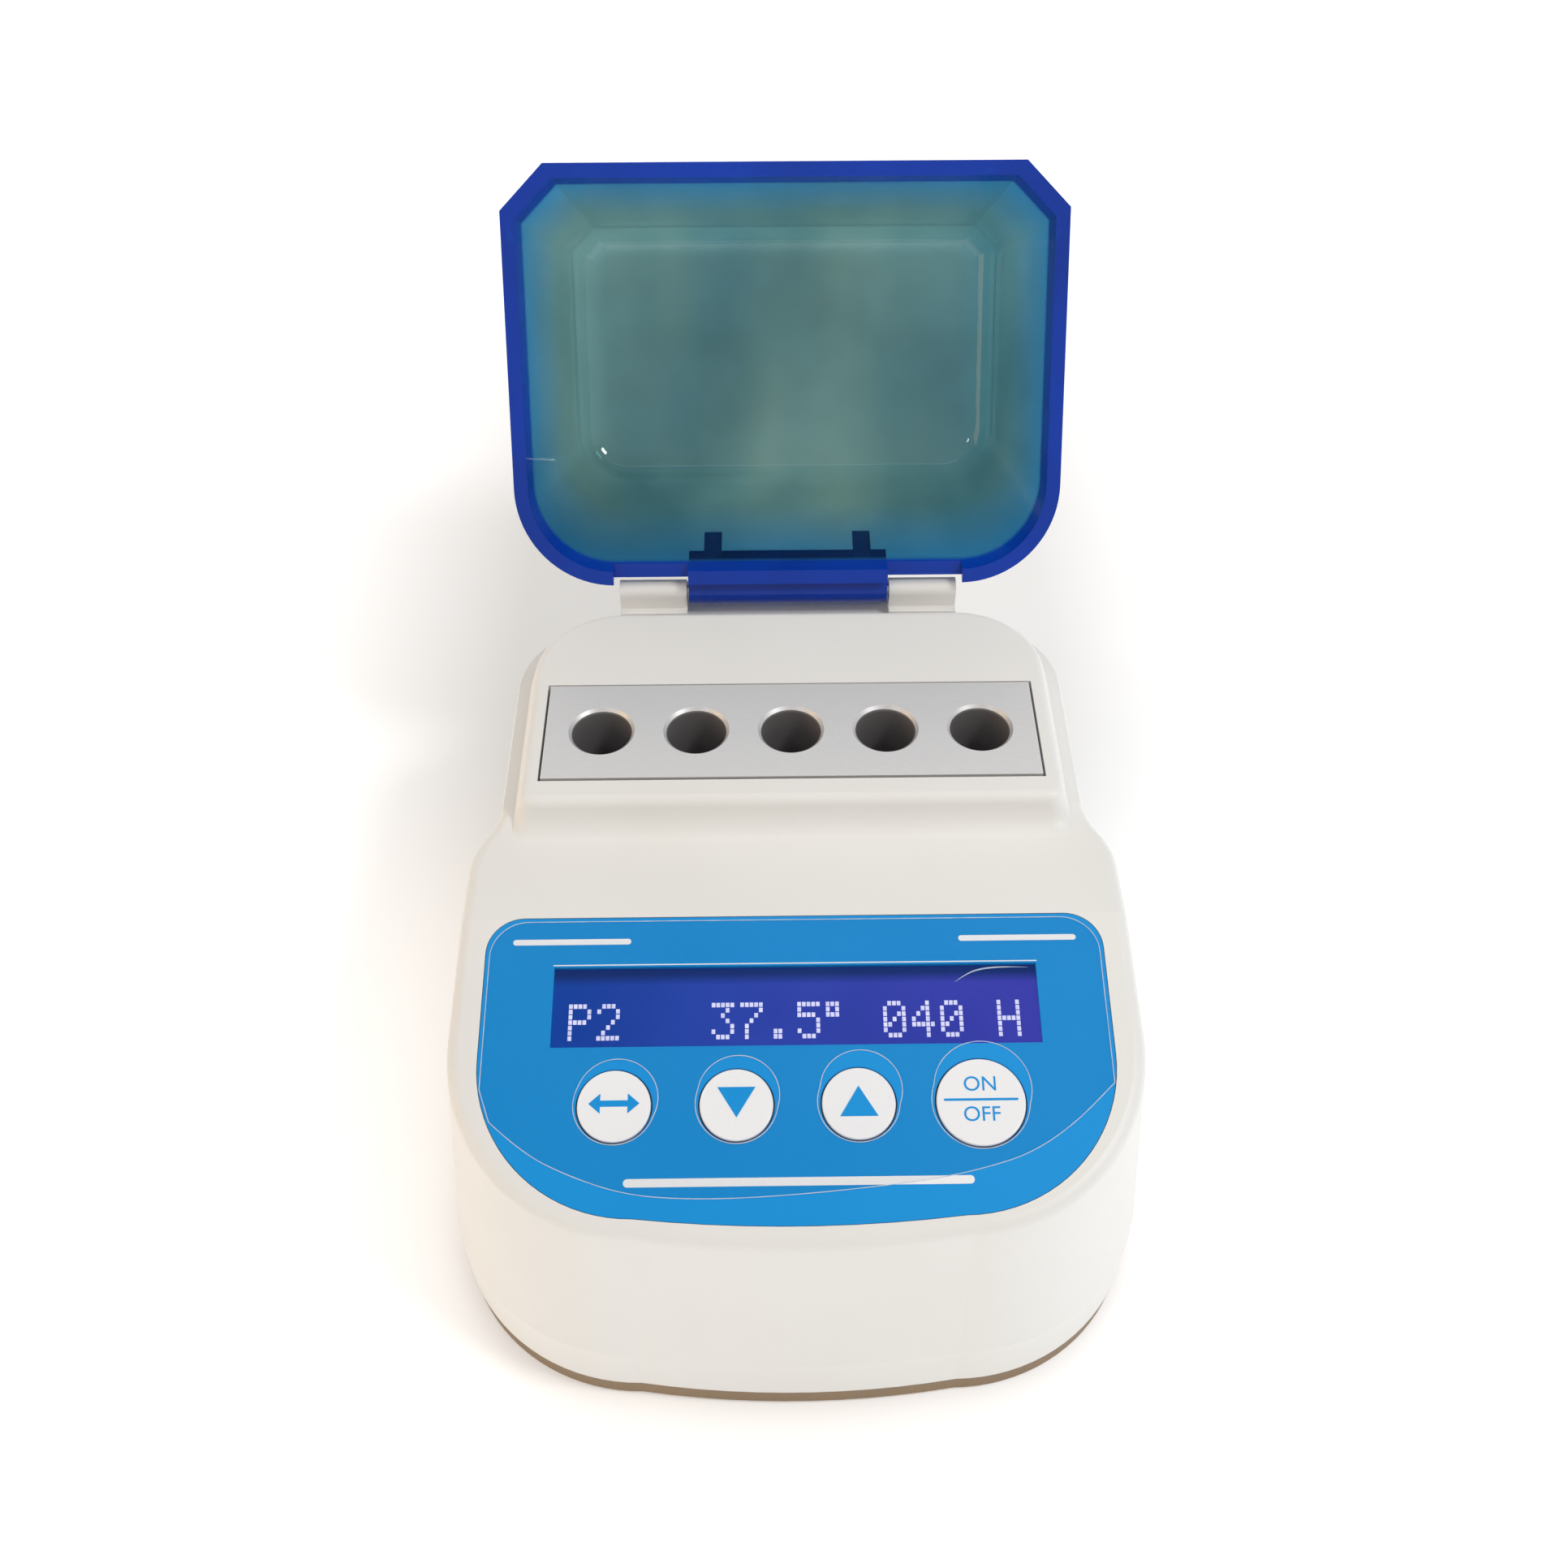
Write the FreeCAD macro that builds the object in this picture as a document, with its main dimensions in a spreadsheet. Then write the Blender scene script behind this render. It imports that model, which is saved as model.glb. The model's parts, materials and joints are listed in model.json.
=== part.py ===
import FreeCAD, Part
import Sketcher
import math
import os

# A compact dry block heater: a moulded two-part case on rubber feet, a five-well
# aluminium block sunk in the raised deck, a sloping control panel with a character
# display and four keys, and a deep hinged cover that is modelled open, as it rests.
# Frame: millimetres, +X to the right, +Y to the back, +Z up. The sizes below count Y
# from the middle of the tray; the finished pieces are moved so that the origin is on
# the table under the middle of the whole open heater.

DIMENSIONS = {
    # case, heights above the table
    "tray_bottom": 1.0, "case_bottom": 6.5, "skirt_top": 20.0, "ledge_height": 76.5, "deck_height": 84.0,
    "case_wall": 2.5, "tray_inset": 0.4, "tray_floor": 3.5, "tray_lip": 2.6,
    "lip_radius": 3.0, "ledge_step": 1.2, "ledge_step_y": 19.5,
    # case outline at its foot
    "foot_rear": 83.0, "foot_rear_half": 69.5, "foot_rear_corner": 20.0, "foot_side_half": 77.0,
    "foot_front": -88.5, "foot_front_corner": 43.0,
    # case outline at the ledge that the cover closes on
    "ledge_rear": 83.0, "ledge_rear_half": 66.8, "ledge_rear_corner": 23.0, "ledge_side_half": 72.0,
    "ledge_front": -78.5, "ledge_front_corner": 38.0,
    "flare_start": 20.0, "flare_end": 2.0, "front_bow": 2.6,
    # raised deck round the block
    "deck_half": 61.0, "deck_front": 14.0, "deck_rear": 77.5, "deck_corner": 20.0, "deck_front_corner": 4.0,
    "deck_base_half": 63.4, "deck_base_rear": 79.2, "deck_cove": 5.5, "deck_edge_radius": 2.2,
    "deck_space_width": 100.0, "deck_space_depth": 54.0, "deck_space_y": 45.0,
    # heating block and wells
    "block_y": 36.0, "block_width": 114.0, "block_depth": 30.0, "block_gap": 0.6, "block_proud": 0.2,
    "spreader_height": 10.0, "probe_diameter": 4.0,
    "well_diameter": 14.0, "well_pitch": 22.0, "well_depth": 52.0, "well_chamfer": 0.7,
    # control panel, sloping to the front
    "panel_top_y": -13.0, "panel_tilt": 14.0, "panel_width": 132.0, "panel_length": 66.7,
    "panel_corner": 8.0, "panel_foot_corner": 33.0, "panel_bow": 1.8,
    "panel_thickness": 1.0, "panel_recess": 1.1,
    "window_width": 102.2, "window_height": 17.8, "window_top": 11.5,
    "key_row": 42.0, "key_pitch": 24.9, "key_diameter": 15.0, "start_key_diameter": 18.2,
    "key_gap": 0.35, "key_proud": 0.5, "key_travel": 0.8,
    # hinged cover
    "cover_half": 67.3, "cover_front": -14.3, "cover_rear": 85.0, "cover_rear_corner": 24.0,
    "cover_chamfer": 10.5, "rim_height": 76.8, "rim_band": 3.4,
    "dome_height": 42.0, "dome_half": 55.0, "dome_front": -2.0, "dome_rear": 62.0,
    "dome_corner": 14.0, "dome_chamfer": 6.0, "dome_wall": 2.4, "dome_edge_radius": 7.0,
    # cover hinge
    "hinge_y": 87.3, "hinge_z": 82.9, "hinge_open": 121.0, "barrel_diameter": 7.0, "barrel_length": 50.0,
    "pin_diameter": 3.0, "pin_length": 80.0, "pin_clearance": 0.05,
    "pedestal_half": 42.5, "pedestal_slot": 51.2, "pedestal_back": 95.0, "pedestal_top": 79.2,
    "ear_radius": 2.7, "notch_depth": 2.9, "gusset_width": 4.5, "gusset_pitch": 38.0,
    # rear power fittings
    "inlet_x": -17.0, "switch_x": 21.0, "fitting_z": 36.0, "fitting_play": 0.4,
    "inlet_width": 28.0, "inlet_height": 20.4, "inlet_depth": 17.0, "inlet_flange": 2.0,
    "inlet_flange_width": 31.0, "inlet_flange_height": 24.0, "mouth_width": 24.4, "mouth_height": 16.4,
    "mouth_depth": 15.1, "blade_width": 4.0, "blade_height": 2.0, "blade_length": 11.1, "blade_pitch": 14.0,
    "switch_width": 13.0, "switch_height": 19.2, "switch_depth": 14.0, "switch_flange": 1.8,
    "switch_flange_width": 15.0, "switch_flange_height": 21.2, "rocker_well_width": 10.4,
    "rocker_well_height": 16.8, "rocker_well_depth": 10.9, "rocker_width": 9.6, "rocker_throw": 20.0,
    # heater, insulation and cradle round the block
    "heater_height": 4.0, "wool_end": 4.0, "wool_side": 5.0, "wool_under": 6.0, "cradle_sheet": 1.2,
    "cradle_wall": 26.0, "cradle_post": 8.0, "cradle_post_x": 46.0, "cradle_post_y": 16.0,
    "cutout_diameter": 15.0, "cutout_height": 5.0, "cutout_cap": 12.0, "cutout_cap_height": 4.0,
    "cutout_x": 30.0, "cutout_z": 56.0, "tab_width": 4.5, "tab_length": 7.0, "tab_sheet": 0.8,
    # display stack, key board and supply board
    "display_depth": 5.9, "display_lip": 0.6, "backlight_height": 2.6, "board_thickness": 1.6,
    "display_board_width": 116.0, "display_board_depth": 36.0,
    "key_board_width": 100.0, "key_board_depth": 20.0, "key_board_drop": 7.0,
    "key_flange": 1.0, "key_flange_height": 0.85, "key_round": 0.3,
    "switch_can": 6.0, "switch_can_height": 3.0, "plunger_diameter": 3.4, "plunger_gap": 0.25,
    "supply_width": 84.0, "supply_depth": 44.0, "supply_y": -42.0, "standoff_height": 5.0,
    "standoff_diameter": 6.0, "standoff_x": 37.0, "standoff_y": 17.0,
    "transformer_width": 26.0, "transformer_depth": 24.0, "transformer_height": 19.0,
    "capacitor_diameter": 12.0, "capacitor_height": 20.0,
    "triac_width": 16.0, "triac_depth": 6.0, "triac_height": 16.0,
    # feet and fasteners
    "rest_x": 52.0, "rest_front": -58.0, "rest_rear": 62.0, "rest_diameter": 15.0, "rest_height": 3.4,
    "boss_front_x": 64.0, "boss_front_y": -38.0, "boss_front_roof": 67.3,
    "boss_rear_x": 44.0, "boss_rear_y": 73.0, "boss_diameter": 8.0,
    "pilot_diameter": 2.6, "shank_diameter": 2.5, "shank_length": 20.0,
    "head_diameter": 5.6, "head_height": 1.9, "head_recess": 6.6, "screw_bore": 3.4,
    "vent_count": 7, "vent_pitch": 9.0, "vent_width": 3.0, "vent_front": -30.0, "vent_rear": -2.0,
}

doc = FreeCAD.newDocument("dry_block_heater")
dims = doc.addObject("Spreadsheet::Sheet", "dims")
for row, (alias, number) in enumerate(DIMENSIONS.items(), start=1):
    dims.set("A%d" % row, alias)
    dims.set("B%d" % row, str(number))
    dims.setAlias("B%d" % row, alias)
doc.recompute()


def size(alias):
    return float(dims.get(alias))


def vec(x, y, z=0.0):
    return FreeCAD.Vector(x, y, z)


X_AXIS = vec(1, 0, 0)
Z_AXIS = vec(0, 0, 1)
CASE_WALL = size("case_wall")
DECK = size("deck_height")
LEDGE = size("ledge_height")
BLOCK_Y = size("block_y")
TRAY_FLOOR = size("tray_bottom") + size("tray_floor")
BLOCK_BOTTOM = DECK + size("block_proud") - size("well_depth") - size("spreader_height")
CAVITY_TOP = LEDGE - size("ledge_step") - CASE_WALL
THROUGH = 12.0  # length of a tool that passes right through a wall
PROBE_DEPTH = 16.0
PROBE_PROUD = 6.0
PROBE_END = (-size("block_width") / 2 - PROBE_PROUD, BLOCK_Y, BLOCK_BOTTOM + size("spreader_height") / 2)
NODES = []


def node(feature, label):
    feature.Label = label
    NODES.append(feature)
    return feature


def bind(feature, **links):
    for name, alias in links.items():
        feature.setExpression(name, alias if "." in alias else "dims." + alias)
    return feature


# Panel frame: origin at the middle of the panel's top edge, +Y up the slope, +Z out of it
PANEL = FreeCAD.Placement(vec(0, size("panel_top_y"), LEDGE), FreeCAD.Rotation(X_AXIS, size("panel_tilt")))
UPRIGHT = FreeCAD.Placement()


# Sketch helpers

def plane_of(body, role):
    return next(item for item in body.Origin.OriginFeatures if item.Role == role)


def sketch_on(body, role="XY_Plane", height=0.0):
    sketch = body.newObject("Sketcher::SketchObject", body.Name + "Sketch")
    sketch.AttachmentSupport = [(plane_of(body, role), "")]
    sketch.MapMode = "FlatFace"
    sketch.AttachmentOffset = FreeCAD.Placement(vec(0, 0, height), FreeCAD.Rotation())
    return sketch


def add_path(sketch, curves):
    # a sketch keeps every arc counter-clockwise, so the ends that meet are found by place
    first = sketch.GeometryCount
    sketch.addGeometry(curves, False)
    for step in range(len(curves)):
        here = first + step
        following = first + (step + 1) % len(curves)
        meeting = [(a, b) for a in (1, 2) for b in (1, 2)
                   if sketch.getPoint(here, a).distanceToPoint(sketch.getPoint(following, b)) < 1e-6]
        here_end, following_end = meeting[0]
        sketch.addConstraint(Sketcher.Constraint("Coincident", here, here_end, following, following_end))


def add_polygon(sketch, points):
    ring = points + points[:1]
    add_path(sketch, [Part.LineSegment(vec(*a), vec(*b)) for a, b in zip(ring, ring[1:])])


def add_circle(sketch, x, y, alias):
    index = sketch.addGeometry(Part.Circle(vec(x, y), Z_AXIS, size(alias) / 2), False)
    number = sketch.addConstraint(Sketcher.Constraint("Diameter", index, size(alias)))
    sketch.setExpression("Constraints[%d]" % number, "dims." + alias)


def add_rectangle(sketch, width, depth, x=0.0, y=0.0):
    w, d = size(width), size(depth)
    corners = [(x - w/2, y - d/2), (x + w/2, y - d/2), (x + w/2, y + d/2), (x - w/2, y + d/2)]
    first = sketch.GeometryCount
    add_polygon(sketch, corners)
    for index, kind in enumerate(("Horizontal", "Vertical", "Horizontal", "Vertical")):
        sketch.addConstraint(Sketcher.Constraint(kind, first + index))
    sketch.addConstraint(Sketcher.Constraint("DistanceX", -1, 1, first, 1, x - w/2))
    sketch.addConstraint(Sketcher.Constraint("DistanceY", -1, 1, first, 1, y - d/2))
    across = sketch.addConstraint(Sketcher.Constraint("DistanceX", first, 1, first, 2, w))
    along = sketch.addConstraint(Sketcher.Constraint("DistanceY", first + 1, 1, first + 1, 2, d))
    sketch.setExpression("Constraints[%d]" % across, "dims." + width)
    sketch.setExpression("Constraints[%d]" % along, "dims." + depth)


def arc_through(a, b, c):
    return Part.Arc(vec(*a), vec(*b), vec(*c))


def corner_arc(center, radius, start, end):
    spots = []
    for angle in (start, (start + end) / 2, end):
        turn = math.radians(angle)
        spots.append((center[0] + radius * math.cos(turn), center[1] + radius * math.sin(turn)))
    return arc_through(*spots)


def mirrored_outline(right_side):
    # closes a right-hand run of curves, given from the rear middle to the front middle, with its mirror
    left_side = []
    for curve in reversed(right_side):
        ends = [curve.EndPoint, curve.StartPoint]
        ends = [(-spot.x, spot.y) for spot in ends]
        if isinstance(curve, Part.LineSegment):
            left_side.append(Part.LineSegment(vec(*ends[0]), vec(*ends[1])))
        else:
            middle = curve.value((curve.FirstParameter + curve.LastParameter) / 2)
            left_side.append(arc_through(ends[0], (-middle.x, middle.y), ends[1]))
    return right_side + left_side


def line(a, b):
    return Part.LineSegment(vec(*a), vec(*b))


def case_outline(level, inset=0.0):
    # plan of the case: rounded rear, sides that flare out before the panel, a broad round front
    rear = size(level + "_rear") - inset
    rear_half = size(level + "_rear_half") - inset
    rear_corner = size(level + "_rear_corner") - inset
    side_half = size(level + "_side_half") - inset
    front = size(level + "_front") + inset
    corner = size(level + "_front_corner") - inset
    bow = size("front_bow")
    flare_start, flare_end = size("flare_start"), size("flare_end")
    flare_middle = ((rear_half + side_half) / 2, (flare_start + flare_end) / 2)
    quarter = (flare_start - flare_end) / 4
    corner_center = (side_half - corner, front + bow + corner)
    run = [line((0, rear), (rear_half - rear_corner, rear)),
           corner_arc((rear_half - rear_corner, rear - rear_corner), rear_corner, 90, 0),
           line((rear_half, rear - rear_corner), (rear_half, flare_start)),
           arc_through((rear_half, flare_start), (rear_half * 0.86 + side_half * 0.14, flare_start - quarter),
                       flare_middle),
           arc_through(flare_middle, (rear_half * 0.14 + side_half * 0.86, flare_end + quarter),
                       (side_half, flare_end)),
           line((side_half, flare_end), (side_half, corner_center[1])),
           corner_arc(corner_center, corner, 0, -90)]
    bow_end = (corner_center[0], front + bow)
    left = mirrored_outline(run)
    half = len(run)
    front_arc = arc_through(bow_end, (0, front), (-bow_end[0], bow_end[1]))
    return left[:half] + [front_arc] + left[half:]


def deck_outline(half, front, rear, corner, front_corner):
    run = [line((0, rear), (half - corner, rear)),
           corner_arc((half - corner, rear - corner), corner, 90, 0),
           line((half, rear - corner), (half, front + front_corner)),
           corner_arc((half - front_corner, front + front_corner), front_corner, 0, -90),
           line((half - front_corner, front), (0, front))]
    return mirrored_outline(run)


def cover_outline(half, front, rear, corner, chamfer):
    run = [line((0, rear), (half - corner, rear)),
           corner_arc((half - corner, rear - corner), corner, 90, 0),
           line((half, rear - corner), (half, front + chamfer)),
           line((half, front + chamfer), (half - chamfer, front)),
           line((half - chamfer, front), (0, front))]
    return mirrored_outline(run)


def panel_outline(inset=0.0):
    half = size("panel_width") / 2 - inset
    top = -inset
    foot = -size("panel_length") + inset
    corner = size("panel_corner") - inset
    big = size("panel_foot_corner") - inset
    bow = size("panel_bow")
    run = [line((0, top), (half - corner, top)),
           corner_arc((half - corner, top - corner), corner, 90, 0),
           line((half, top - corner), (half, foot + bow + big)),
           corner_arc((half - big, foot + bow + big), big, 0, -90)]
    full = mirrored_outline(run)
    half_count = len(run)
    bow_arc = arc_through((half - big, foot + bow), (0, foot), (big - half, foot + bow))
    return full[:half_count] + [bow_arc] + full[half_count:]


# Feature helpers

def new_body(name):
    return doc.addObject("PartDesign::Body", name)


def loft(body, levels):
    # levels: (height, outline) from the top down; two levels give flat sides, more give smooth ones
    sketches = []
    for height, outline in levels:
        sketches.append(sketch_on(body, height=height))
        add_path(sketches[-1], outline)
    feature = body.newObject("PartDesign::AdditiveLoft", body.Name + "Loft")
    feature.Profile = sketches[0]
    feature.Sections = sketches[1:]
    feature.Ruled = len(levels) == 2
    return feature


def pad(body, sketch, length, both=False, reverse=False):
    feature = body.newObject("PartDesign::Pad", body.Name + "Pad")
    feature.Profile = sketch
    feature.Midplane = both
    feature.Reversed = reverse
    if isinstance(length, str):
        bind(feature, Length=length)
    else:
        feature.Length = length
    return feature


def pocket(body, sketch, length=None, both=False, reverse=False):
    feature = body.newObject("PartDesign::Pocket", body.Name + "Pocket")
    feature.Profile = sketch
    feature.Midplane = both
    feature.Reversed = reverse
    if length is None:
        feature.Type = 1
    elif isinstance(length, str):
        bind(feature, Length=length)
    else:
        feature.Length = length
    return feature


def box(name, width, depth, height, place, frame=UPRIGHT):
    # a block centred on place in X and Y, standing on it in Z
    feature = doc.addObject("Part::Box", name)
    feature.Length, feature.Width, feature.Height = width, depth, height
    corner = vec(place[0] - width / 2, place[1] - depth / 2, place[2])
    feature.Placement = frame.multiply(FreeCAD.Placement(corner, FreeCAD.Rotation()))
    return feature


def rod(name, diameter, length, place, axis=Z_AXIS, frame=UPRIGHT):
    feature = doc.addObject("Part::Cylinder", name)
    if isinstance(diameter, str):
        bind(feature, Radius="dims." + diameter + " / 2")
    else:
        feature.Radius = diameter / 2
    feature.Height = length
    feature.Placement = frame.multiply(FreeCAD.Placement(vec(*place), FreeCAD.Rotation(Z_AXIS, axis)))
    return feature


def cut(name, base, tools):
    feature = doc.addObject("Part::Cut", name)
    feature.Base = base
    feature.Tool = tools[0] if len(tools) == 1 else fuse(name + "Tools", tools)
    return feature


def fuse(name, shapes):
    feature = doc.addObject("Part::MultiFuse", name)
    feature.Shapes = shapes
    return feature


def group(name, shapes):
    # separate solids that share one node
    feature = doc.addObject("Part::Compound", name)
    feature.Links = shapes
    return feature


def fillet_edges(body, base, radius, chosen, kind="PartDesign::Fillet"):
    doc.recompute()
    names = ["Edge%d" % (i + 1) for i, edge in enumerate(base.Shape.Edges) if chosen(edge)]
    feature = body.newObject(kind, body.Name + "Edge")
    feature.Base = (base, names)
    if kind.endswith("Fillet"):
        bind(feature, Radius=radius)
    else:
        bind(feature, Size=radius)
    return feature


def level_edge(z, slack=0.05):
    return lambda edge: all(abs(spot.Point.z - z) < slack for spot in edge.Vertexes)


def offset_slope(depth):
    # side view of everything above the panel plane, sunk by depth along its normal
    tilt = math.radians(size("panel_tilt"))
    reach = 120.0
    start_y = size("panel_top_y") + depth / math.sin(tilt)
    end = (start_y - reach, LEDGE - math.tan(tilt) * reach)
    return [(start_y, LEDGE), end, (end[0], DECK + reach), (start_y, DECK + reach)]


def deck_level(height):
    # plan of the raised deck at a height: its front face runs out in a cove onto the shoulder
    share = (height - LEDGE) / (DECK - LEDGE)
    cove = size("deck_cove")
    root = size("deck_front") - cove
    fall = max(LEDGE + cove - height, 0.0)
    front = root + math.sqrt(cove ** 2 - fall ** 2)
    half = size("deck_base_half") + (size("deck_half") - size("deck_base_half")) * share
    rear = size("deck_base_rear") + (size("deck_rear") - size("deck_base_rear")) * share
    return deck_outline(half, front, rear, size("deck_corner") + 2 * (1 - share),
                        size("deck_front_corner"))


def case_shell():
    outer = new_body("CaseOuter")
    loft(outer, [(LEDGE, case_outline("ledge")), (size("skirt_top"), case_outline("foot"))])
    skirt = sketch_on(outer, height=size("skirt_top"))
    add_path(skirt, case_outline("foot"))
    pad(outer, skirt, size("skirt_top") - size("case_bottom"), reverse=True)
    slope = sketch_on(outer, "YZ_Plane")
    add_polygon(slope, offset_slope(0.0))
    sloped = pocket(outer, slope, both=True)
    fillet_edges(outer, sloped, "lip_radius", on_lip)
    strip = sketch_on(outer, "YZ_Plane")
    low, front, far = LEDGE - size("ledge_step"), size("ledge_step_y"), 2 * size("ledge_rear")
    add_polygon(strip, [(front, low), (far, low), (far, DECK), (front, DECK)])
    pocket(outer, strip, both=True)
    root = sketch_on(outer, height=LEDGE)
    add_path(root, deck_level(LEDGE))
    pad(outer, root, 2 * size("ledge_step"), reverse=True)
    cove = size("deck_cove")
    rises = (DECK - LEDGE, cove, 0.6 * cove, 0.3 * cove, 0.1 * cove, 0.0)
    deck = loft(outer, [(LEDGE + rise, deck_level(LEDGE + rise)) for rise in rises])
    fillet_edges(outer, deck, "deck_edge_radius", level_edge(DECK))
    recess = sketch_on(outer)
    recess.AttachmentOffset = PANEL
    add_path(recess, panel_outline())
    pocket(outer, recess, "panel_recess")
    cavity = new_body("CaseCavity")
    loft(cavity, [(CAVITY_TOP, case_outline("ledge", CASE_WALL)),
                  (size("case_bottom") - 0.01, case_outline("foot", CASE_WALL))])
    inner_slope = sketch_on(cavity, "YZ_Plane")
    add_polygon(inner_slope, offset_slope(CASE_WALL + size("panel_recess")))
    pocket(cavity, inner_slope, both=True)
    return outer, cavity


def on_lip(edge):
    # the outer edges of the sloping front and of the ledge, but not the ridge between the two
    middle = edge.valueAt((edge.FirstParameter + edge.LastParameter) / 2)
    spots = [spot.Point for spot in edge.Vertexes] + [middle]
    drop = math.tan(math.radians(size("panel_tilt")))
    on_ledge = all(abs(spot.z - LEDGE) < 0.01 for spot in spots)
    on_slope = all(abs(spot.z - LEDGE - drop * (spot.y - size("panel_top_y"))) < 0.01 for spot in spots)
    return on_ledge != on_slope


def hinge_pedestal():
    body = new_body("HingePedestal")
    side = sketch_on(body, "YZ_Plane")
    back, front, top = size("pedestal_back"), size("deck_rear") - 2, size("pedestal_top")
    step, low = size("ledge_rear") - 0.5, LEDGE - size("ledge_step")
    add_polygon(side, [(front, low), (step, low), (step, top), (back, top), (back, top - 6),
                       (size("ledge_rear") - 1, top - 21), (front, top - 21)])
    pad(body, side, 2 * size("pedestal_half"), both=True)
    ears = sketch_on(body, "YZ_Plane")
    axis_y, axis_z, round_top = size("hinge_y"), size("hinge_z"), size("ear_radius")
    near, far = axis_y - round_top, axis_y + round_top
    add_path(ears, [line((far, top - 1), (far, axis_z)),
                    arc_through((far, axis_z), (axis_y, axis_z + round_top), (near, axis_z)),
                    line((near, axis_z), (near, top - 1)),
                    line((near, top - 1), (far, top - 1))])
    pad(body, ears, 2 * size("pedestal_half"), both=True)
    return body


def upper_housing():
    outer, cavity = case_shell()
    bosses = []
    pilots = []
    for side in (-1, 1):
        for spot, roof in (("front", size("boss_front_roof")), ("rear", CAVITY_TOP + 0.5)):
            place = (side * size("boss_%s_x" % spot), size("boss_%s_y" % spot), TRAY_FLOOR + 0.2)
            bosses.append(rod("CaseBoss", "boss_diameter", roof - place[2], place))
            pilots.append(rod("CasePilot", "pilot_diameter", size("shank_length"), place))
    gap = 2 * size("block_gap")
    under = CAVITY_TOP - CASE_WALL
    opening = box("BlockOpening", size("block_width") + gap, size("block_depth") + gap, DECK + 1 - under,
                  (0, BLOCK_Y, under))
    deck_space = box("DeckSpace", size("deck_space_width"), size("deck_space_depth"),
                     DECK - CASE_WALL - under, (0, size("deck_space_y"), under))
    window = box("WindowOpening", size("window_width") + 1, size("window_height") + 1, THROUGH,
                 (0, -size("window_top") - size("window_height") / 2, 2 - THROUGH), PANEL)
    keys = [rod("KeyOpening", width + 1.2, THROUGH, (x, -size("key_row"), 2 - THROUGH), frame=PANEL)
            for x, width in key_places()]
    wall_y = size("ledge_rear")
    inlet = box("InletOpening", size("inlet_width"), THROUGH, size("inlet_height"),
                (size("inlet_x"), wall_y, size("fitting_z") - size("inlet_height") / 2))
    switch = box("SwitchOpening", size("switch_width"), THROUGH, size("switch_height"),
                 (size("switch_x"), wall_y, size("fitting_z") - size("switch_height") / 2))
    slot_front, slot_back = size("deck_base_rear") + 1, size("pedestal_back") + 1
    slot = box("BarrelSlot", size("pedestal_slot"), slot_back - slot_front, THROUGH,
               (0, (slot_front + slot_back) / 2, size("rim_height") - 0.5))
    pin = rod("PinBore", size("pin_diameter") + size("pin_clearance"), 3 * size("pedestal_half"),
              (-1.5 * size("pedestal_half"), size("hinge_y"), size("hinge_z")), X_AXIS)
    hollow = cut("CaseHollow", outer, [cavity, deck_space])
    solid = fuse("CaseSolid", [hollow, hinge_pedestal()] + bosses)
    return node(cut("UpperHousing", solid, pilots + [opening, window, inlet, switch, slot, pin] + keys),
                "upper_housing")


def key_places():
    # centre and diameter of the four keys, left to right
    places = []
    for index in range(4):
        width = "start_key_diameter" if index == 3 else "key_diameter"
        places.append(((index - 1.5) * size("key_pitch"), size(width)))
    return places


def lower_housing():
    body = new_body("BaseTray")
    low, top = size("tray_bottom"), size("case_bottom")
    base = sketch_on(body, height=low)
    add_path(base, case_outline("foot", size("tray_inset")))
    pad(body, base, top - low)
    lip_top = top + size("tray_lip")
    lip = sketch_on(body, height=lip_top)
    add_path(lip, case_outline("foot", CASE_WALL + size("tray_inset")))
    pad(body, lip, size("tray_lip") + 1, reverse=True)
    inside = sketch_on(body, height=lip_top)
    add_path(inside, case_outline("foot", CASE_WALL + size("tray_inset") + 2))
    pocket(body, inside, lip_top - TRAY_FLOOR)
    vents = sketch_on(body, height=low)
    half_vent, near, far = size("vent_width") / 2, size("vent_front"), size("vent_rear")
    count = int(size("vent_count"))
    for index in range(count):
        x = (index - (count - 1) / 2) * size("vent_pitch")
        add_polygon(vents, [(x - half_vent, near), (x + half_vent, near),
                            (x + half_vent, far), (x - half_vent, far)])
    pocket(body, vents, reverse=True)
    tools = []
    for side in (-1, 1):
        for spot in ("front", "rear"):
            rest = (side * size("rest_x"), size("rest_" + spot), 0)
            tools.append(rod("RestRecess", size("rest_diameter") + 0.1, size("rest_height"), rest))
            screw = (side * size("boss_%s_x" % spot), size("boss_%s_y" % spot), 0)
            tools.append(rod("ScrewBore", "screw_bore", 2 * lip_top, screw))
            tools.append(rod("ScrewHead", "head_recess", low + size("head_height") + 0.1, screw))
    return node(cut("LowerHousing", body, tools), "lower_housing")


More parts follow.
